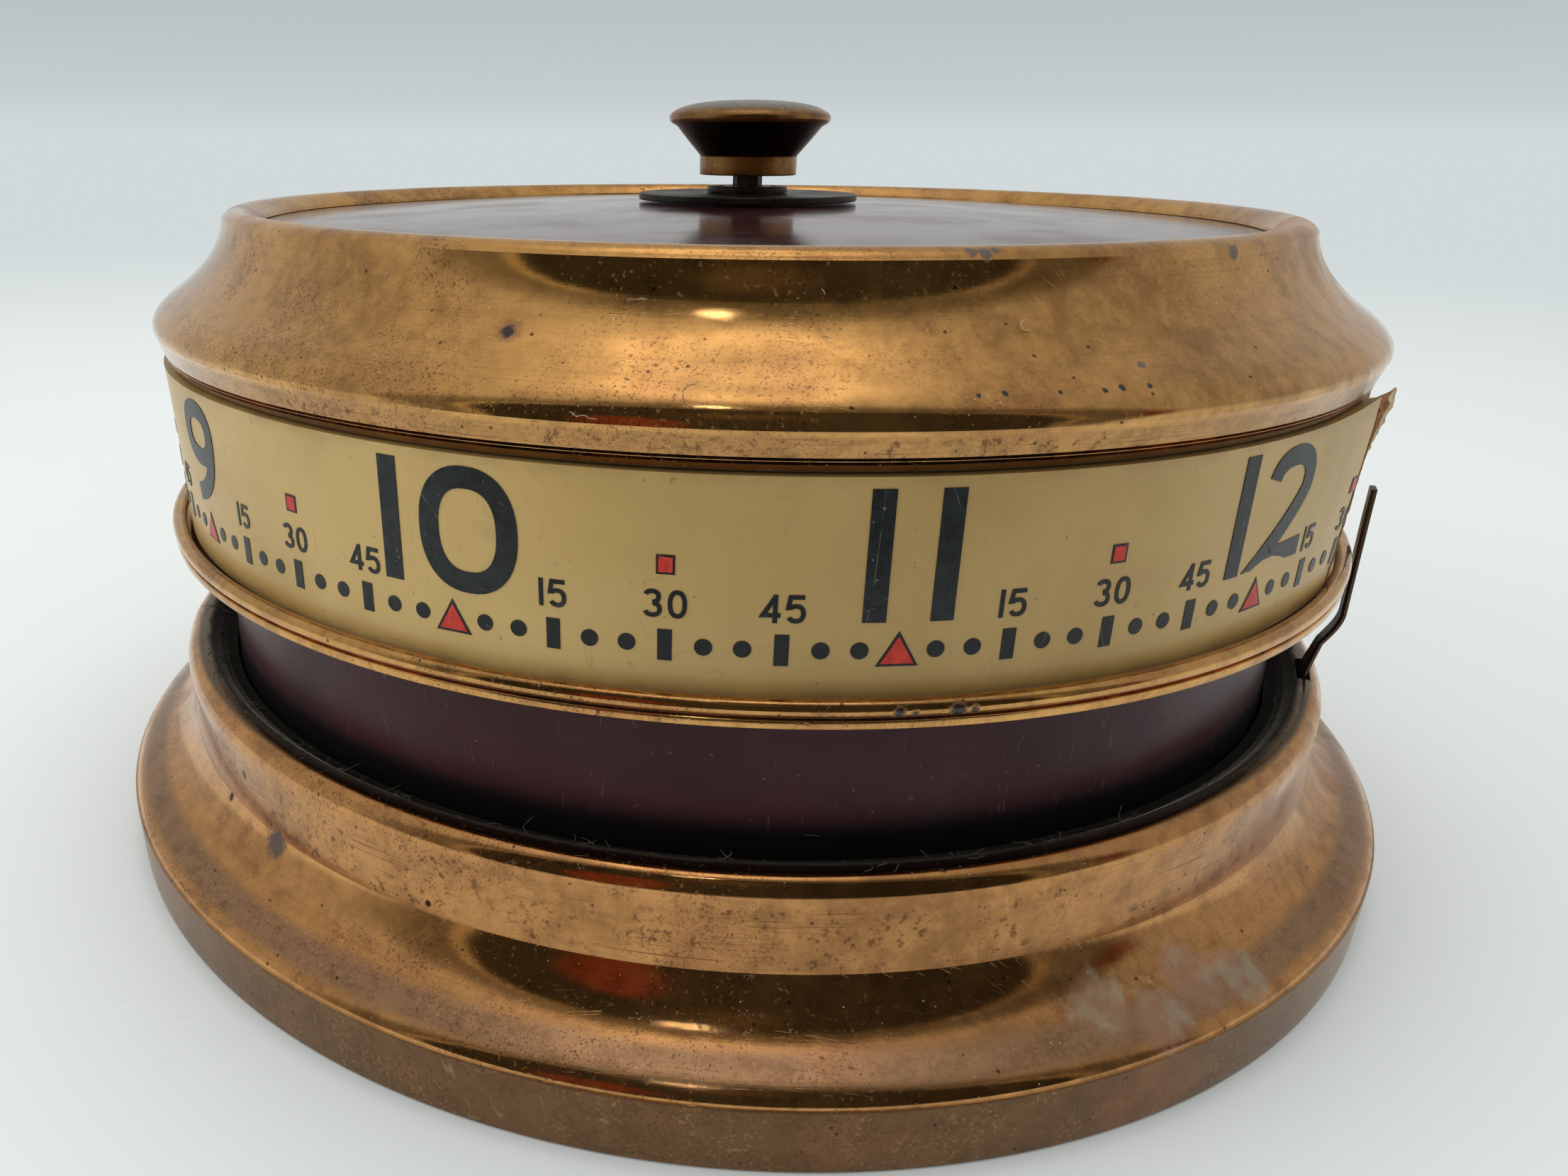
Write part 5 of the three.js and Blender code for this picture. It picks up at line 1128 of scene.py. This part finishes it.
def washer_and_nut(mat):
    outline = [(2.7, 55.75), (10.0, 55.75), *softened((10.35, 55.78), (10, 55.75), (10.35, 56.3), 0.1),
               *softened((10.35, 56.38), (10.35, 55.8), (10, 56.4), 0.14),
               (9.4, 56.4), (8.9, 56.36), (2.7, 56.38)]
    washer = turned("lid_washer", outline, SMALL_STEPS * 2)
    finish_piece(washer, "dial_drum", mat, ["top_washer"])
    outline = [(2.7, 56.48), *softened((3.8, 56.48), (2.7, 56.48), (3.8, 57.0), 0.06),
               *softened((3.8, 57.02), (3.8, 56.5), (2.7, 57.02), 0.16), (2.7, 57.02)]
    nut = turned("lid_nut", outline, SMALL_STEPS)
    finish_piece(nut, "dial_drum", mat, ["top_nut"])


# Underside

def bottom_cover(mat):
    outline = [
        (0.0, 4.42), (20.0, 4.42), (24.0, 4.62), (28.0, 4.42), (50.0, 4.42),
        *softened((57.4, 4.42), (50, 4.42), (57.4, 2), 0.6), (57.4, 1.25),
        (58.15, 1.25), *softened((58.15, 5.15), (58.15, 2), (50, 5.15), 0.8), (0.0, 5.15),
    ]
    obj = turned("underside_cover", outline)
    key_hole = turned("key_hole", [(0, 3), (1.9, 3), (1.9, 6), (0, 6)], 48, (-17.5, 0.0))
    cut_away(obj, key_hole)
    smooth(obj)
    finish_piece(obj, "base", mat, ["bottom_cover"])


def piece_size(node):
    """A CAD piece's middle x and y, its foot and top, and half its size in y, in mm."""
    low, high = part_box(node)
    x, y = (low.x + high.x) / 2 / MM, (low.y + high.y) / 2 / MM
    return x, y, low.z / MM, high.z / MM, (high.y - low.y) / 2 / MM


def screw_heads(mat):
    for i in range(1, 5):
        x, y, z0, z1, _ = piece_size(f"cover_screw_{i}")
        outline = [
            (0, z0 + 0.1), (1.2, z0 + 0.06),
            *softened((1.98, z0 + 0.25), (1.2, z0 + 0.06), (1.98, z0 + 1), 0.3),
            (1.98, z0 + 0.98), (0.88, z0 + 0.98), (0.88, z1 - 0.05), (0, z1 - 0.02),
        ]
        head = turned(f"cover_screw_head_{i}", outline, 48, (x, y))
        groove = block("groove", (-2.5, -0.25, z0 - 0.5), (2.5, 0.25, z0 + 0.5))
        turn = Matrix.Rotation(0.6 + 1.3 * i, 4, "Z")
        groove.data.transform(Matrix.Translation((x * MM, y * MM, 0)) @ turn)
        cut_away(head, groove)
        smooth(head)
        finish_piece(head, "base", mat, [f"cover_screw_{i}"])


def winding_key(mat):
    x, y, z0, z1, half = piece_size("winding_key")
    wing = [(-half + 1.1 * (1 - math.cos(t)), z0 + 0.1 + 0.5 * (z1 - z0) * (1 - math.sin(t) * 0.95))
            for t in [math.pi / 2 * k / 6 for k in range(7)]]
    outline = wing + [(-3.2, z1 - 0.7), (3.2, z1 - 0.7)] + [(-a, b) for a, b in reversed(wing)]
    vertices = [((x + side) * MM, (y + a) * MM, b * MM) for side in (-0.65, 0.65) for a, b in outline]
    wing_obj = link("key_wing", vertices, prism_faces(0, len(outline)))
    apply_modifier(wing_obj, "BEVEL", width=0.25 * MM, segments=3)
    smooth(wing_obj)
    finish_piece(wing_obj, "winding", mat)
    hub_outline = [(1.7, z0 + 0.7), (0, z0 + 0.7), (0, z0 + 0.02),
                   *softened((2.98, z0 + 0.02), (0, z0), (2.98, z1), 0.4),
                   *softened((2.98, z1), (2.98, z0), (1.7, z1), 0.2), (1.7, z1)]
    hub = turned("key_hub", hub_outline, 64, (x, y))
    finish_piece(hub, "winding", mat, ["winding_key"])


# Light, world, the tent's opening and the floor

def area_light(name, place, target, size, power, color=(1, 1, 1)):
    data = bpy.data.lights.new(name, "AREA")
    data.shape = "RECTANGLE"
    data.size, data.size_y = size
    data.energy = power
    data.color = color
    obj = add_object(name, data)
    obj.location = place
    aim = Vector(target) - Vector(place)
    obj.rotation_euler = aim.to_track_quat("-Z", "Y").to_euler()
    return obj


def make_light():
    over = area_light("soft_over", (0.05, 0.16, 0.92), (0, 0, 0.03), (0.9, 0.5), 2.25, (1.0, 0.985, 0.96))
    left = area_light("soft_left", (-0.75, -0.25, 0.4), (0, 0, 0.03), (0.6, 0.6), 2.0, (1.0, 0.985, 0.95))
    for lamp in (over, left):
        lamp.visible_glossy = False
    window = area_light("window", (-0.063, -0.50, 0.90), (0, 0, 0.05), (0.075, 0.035), 0.09)
    window.data.cycles.use_multiple_importance_sampling = False  # or the card in front would hide it


def make_world():
    """A pale tent, brightest overhead and a little darker on the right."""
    world = bpy.data.worlds.new("studio")
    bpy.context.scene.world = world
    tree = Tree(world)
    x, _, z = tree.split(tree.node("ShaderNodeTexCoord", {}, "Generated"))
    room = tree.mix(x.fade(-0.1, 0.8, 0.0, 0.4), tree.ramp(z, ROOM), (0.36, 0.36, 0.36))
    lit = tree.mix(0.5, (0.84, 0.86, 0.87), room)
    tree.color = tree.mix(tree.ray("Glossy"), lit, room)
    tree.paint(tree.ray("Camera").larger(tree.ray("Transmission")), tree.ramp(z, WALL))
    tree.show(tree.node("ShaderNodeBackground", {"Color": tree.color}), "World")


def make_opening():
    """The front of the tent, close by: the dark round opening for the camera, seen only in the metal."""
    tree = material("tent_opening")
    x, _, z = tree.split(tree.place)

    def from_middle(middle, half):
        return (x - middle[0]) / half[0], (z - middle[1]) / half[1]

    def reach_from(middle, half):
        return tree.length(tree.combine(*from_middle(middle, half)))

    def patch(middle, half, start, end, share, color):
        tree.paint(reach_from(middle, half).fade(start, end, share, 0.0), color)

    veil = reach_from(*VEIL)
    tree.color = tree.mix(veil.fade(0.5, 1.2), (0.17, 0.16, 0.13), (0.30, 0.29, 0.25))
    patch(*RED_PATCH)
    across, up = from_middle(*OPENING)
    reach = (abs(across) ** OPENING_POWER + abs(up) ** OPENING_POWER) ** (1 / OPENING_POWER)
    hem = reach.fade(0.97, 1.0) * reach.fall(1.02, 1.07) * abs(across).fade(0.5, 0.8, 0.0, 0.9)
    tree.paint(hem, (0.62, 0.55, 0.42))
    tree.paint(reach.fall(0.93, 1.0), (0.045, 0.042, 0.03))
    patch(*GLOW_PATCH)
    patch(*WARM_PATCH)
    seen = veil.fall(0.8, 1.35) * z.fade(-1.0, 9.0)
    clear = tree.node("ShaderNodeBsdfTransparent", {})
    shown = tree.show(tree.join(seen, clear, tree.node("ShaderNodeEmission", {"Color": tree.color})))
    left, right, low, high = CARD
    corners = [(left, low), (right, low), (right, high), (left, high)]
    card = link("tent_front", [(x, OPENING_Y * MM, z) for x, z in corners], [(0, 1, 2, 3)])
    wear(card, shown)
    for rays in ("camera", "diffuse", "transmission", "shadow"):
        setattr(card, f"visible_{rays}", False)


def make_floor():
    """Pale floor that runs out into the colour of the wall, so no horizon shows."""
    tree = material("pale_floor")
    tree.color = tree.mix(tree.noise(0.01, 3, 0.5), (0.835, 0.885, 0.89), (0.81, 0.855, 0.86))
    tree.paint(scratch_mask(tree, (0.4, 2.2), 0.02, 0.6) * 0.3, (0.6, 0.63, 0.63))
    far = tree.length(tree.place).fade(*FLOOR_FADE)
    shown = tree.ray("Camera").larger(tree.ray("Glossy").larger(tree.ray("Transmission")))
    wall = tree.node("ShaderNodeEmission", {"Color": (*WALL[0][1], 1)})
    corners = [(-FLOOR, -FLOOR, 0), (FLOOR, -FLOOR, 0), (FLOOR, FLOOR, 0), (-FLOOR, FLOOR, 0)]
    floor = link("floor", corners, [(0, 1, 2, 3)])
    wear(floor, tree.show(tree.join(far * shown, tree.principled(Roughness=0.6), wall)))


# Assembly

make_camera()

copper_base = aged_copper(
    "copper_base", light=(0.62, 0.31, 0.112), dark=(0.32, 0.155, 0.06), rough=(0.085, 0.4), ledge=True,
    bands=[(5.95, 7.05, 0.4, (0.32, 0.185, 0.105), 0.05, 0.3),
           (-1.0, 5.08, 1.0, (0.165, 0.092, 0.045), 0.05, 0.04)],
    lined=(10.6, 15.6),
    grime=[(-128.3, 54.6, 9.8, 1.5), (-133.5, 54.6, 13.6, 0.5)],
    pits=[(-136.9, 54.5, 10.1, 0.5), (-111.5, 54.6, 11.2, 0.3)],
    bloom=[(-64, 57.0, 7.5, 2.6), (-60, 58.6, 6.6, 2.6), (-56, 57.4, 7.3, 2.8), (-52, 58.6, 6.6, 2.4)],
)
# On the rim copper the band tints the skirt a darker brown.
copper_rim = aged_copper(
    "copper_rim", lined=(43.9, 45.9), bands=[(42.0, 45.75, 0.1, (0.50, 0.27, 0.10), 0.0, 0.2)],
    pits=[(-105.94, 50.55, 50.33, 0.62), (-75.7, 53.6, 47.9, 0.2), (-74.0, 53.55, 47.95, 0.25),
          (-70.4, 53.6, 47.9, 0.2), (-67.3, 53.6, 47.85, 0.24), (-66.0, 53.55, 47.95, 0.3),
          (-63.9, 53.6, 47.95, 0.24)],
    rust=[(-105.94, 50.55, 50.33, 1.1)],
    grime=[(-74.0, 47.75, 55.1, 0.5), (-73.0, 47.85, 55.05, 0.55), (-72.2, 47.7, 55.15, 0.4),
           (-49.3, 48.1, 54.6, 0.7), (-63.5, 52.3, 48.95, 0.4)],
)
copper_bead = aged_copper(
    "copper_bead",
    pits=[(-79.3, 54.6, 29.1, 0.45), (-78.3, 54.6, 29.0, 0.3), (-75.5, 54.6, 29.1, 0.6),
          (-74.4, 54.6, 29.0, 0.4)],
)
copper_knob = aged_copper(
    "copper_knob", light=(0.36, 0.19, 0.065), dark=(0.14, 0.07, 0.03), rough=(0.16, 0.34), haze=0.0,
    bands=[(59.72, 62.7, 0.2, (0.03, 0.014, 0.01), 0.0, 0.1),
           (63.98, 70.0, 0.8, (0.14, 0.135, 0.125), 0.3, 0.1)],
)
lint_mat = plain_lint("grey_lint", (0.10, 0.10, 0.075))
pale_lint = plain_lint("pale_lint", (0.55, 0.50, 0.40))
brown_paper = plain_lint("brown_backing", (0.33, 0.125, 0.04))
cream_paper = plain_lint("cream_fringe", (0.60, 0.47, 0.27))
amber_film = plain_lint("amber_film", (0.48, 0.33, 0.10), 0.3)
# The drum gets painted shade, black below 18.2 mm, where its foot sits in the lip.
maroon_drum = burgundy("maroon_drum", 0.25, rough=(0.3, 0.45), coat=0.0, shine=0.2, shaded_below=18.2)
maroon_lid = burgundy("maroon_lid", 0.5, scuffs=1.0)
steel = plain_metal("worked_steel", (0.42, 0.41, 0.40), (0.20, 0.19, 0.18))
dark_steel = plain_metal("dark_steel", (0.05, 0.045, 0.04), (0.016, 0.014, 0.013), (0.35, 0.6))
brown_metal = plain_metal("brown_strip", (0.11, 0.065, 0.045), (0.035, 0.022, 0.018), (0.35, 0.55))
brass = plain_metal("clock_brass", (0.60, 0.42, 0.18), (0.38, 0.25, 0.10))
tin = plain_metal("tin_plate", (0.45, 0.44, 0.41), (0.27, 0.25, 0.22), (0.32, 0.55), (0.3, 0.3, 0.3))
cream = dial_paper()
ink = print_ink("numeral_ink", (0.016, 0.019, 0.021), (0.008, 0.009, 0.010), 0.5)
small_ink = print_ink("mark_ink", (0.012, 0.013, 0.014), (0.008, 0.008, 0.008), 0.25)
red_ink = print_ink("red_ink", (0.50, 0.035, 0.02), (0.38, 0.02, 0.014), 0.3)

base_shell(copper_base)
fixed_drum(maroon_drum)
rim_shell(copper_rim)
bead_ring(copper_bead)
lid_disc(maroon_lid)
dial_carrier(tin)
dial_strip(cream)
dial_print(ink, small_ink, red_ink)
seam(brown_paper, cream_paper, amber_film)
lint(lint_mat, pale_lint)
pointer(brown_metal)
knob(copper_knob)
washer_and_nut(dark_steel)
bottom_cover(tin)
screw_heads(steel)
winding_key(brass)

INSIDE = {"brass": brass, "steel": steel, "tinned_steel": tin, "pointer_brown": brown_metal}
for part in frame["record"]["subparts"]:
    node = frame["nodes"][part["node"]]
    inside = dark_steel if part["node"] == "setting_arbor" else INSIDE.get(part["material_slot"])
    if inside is not None:
        wear(node, inside)

make_light()
make_world()
make_opening()
make_floor()
bpy.context.scene.view_settings.view_transform = "Standard"
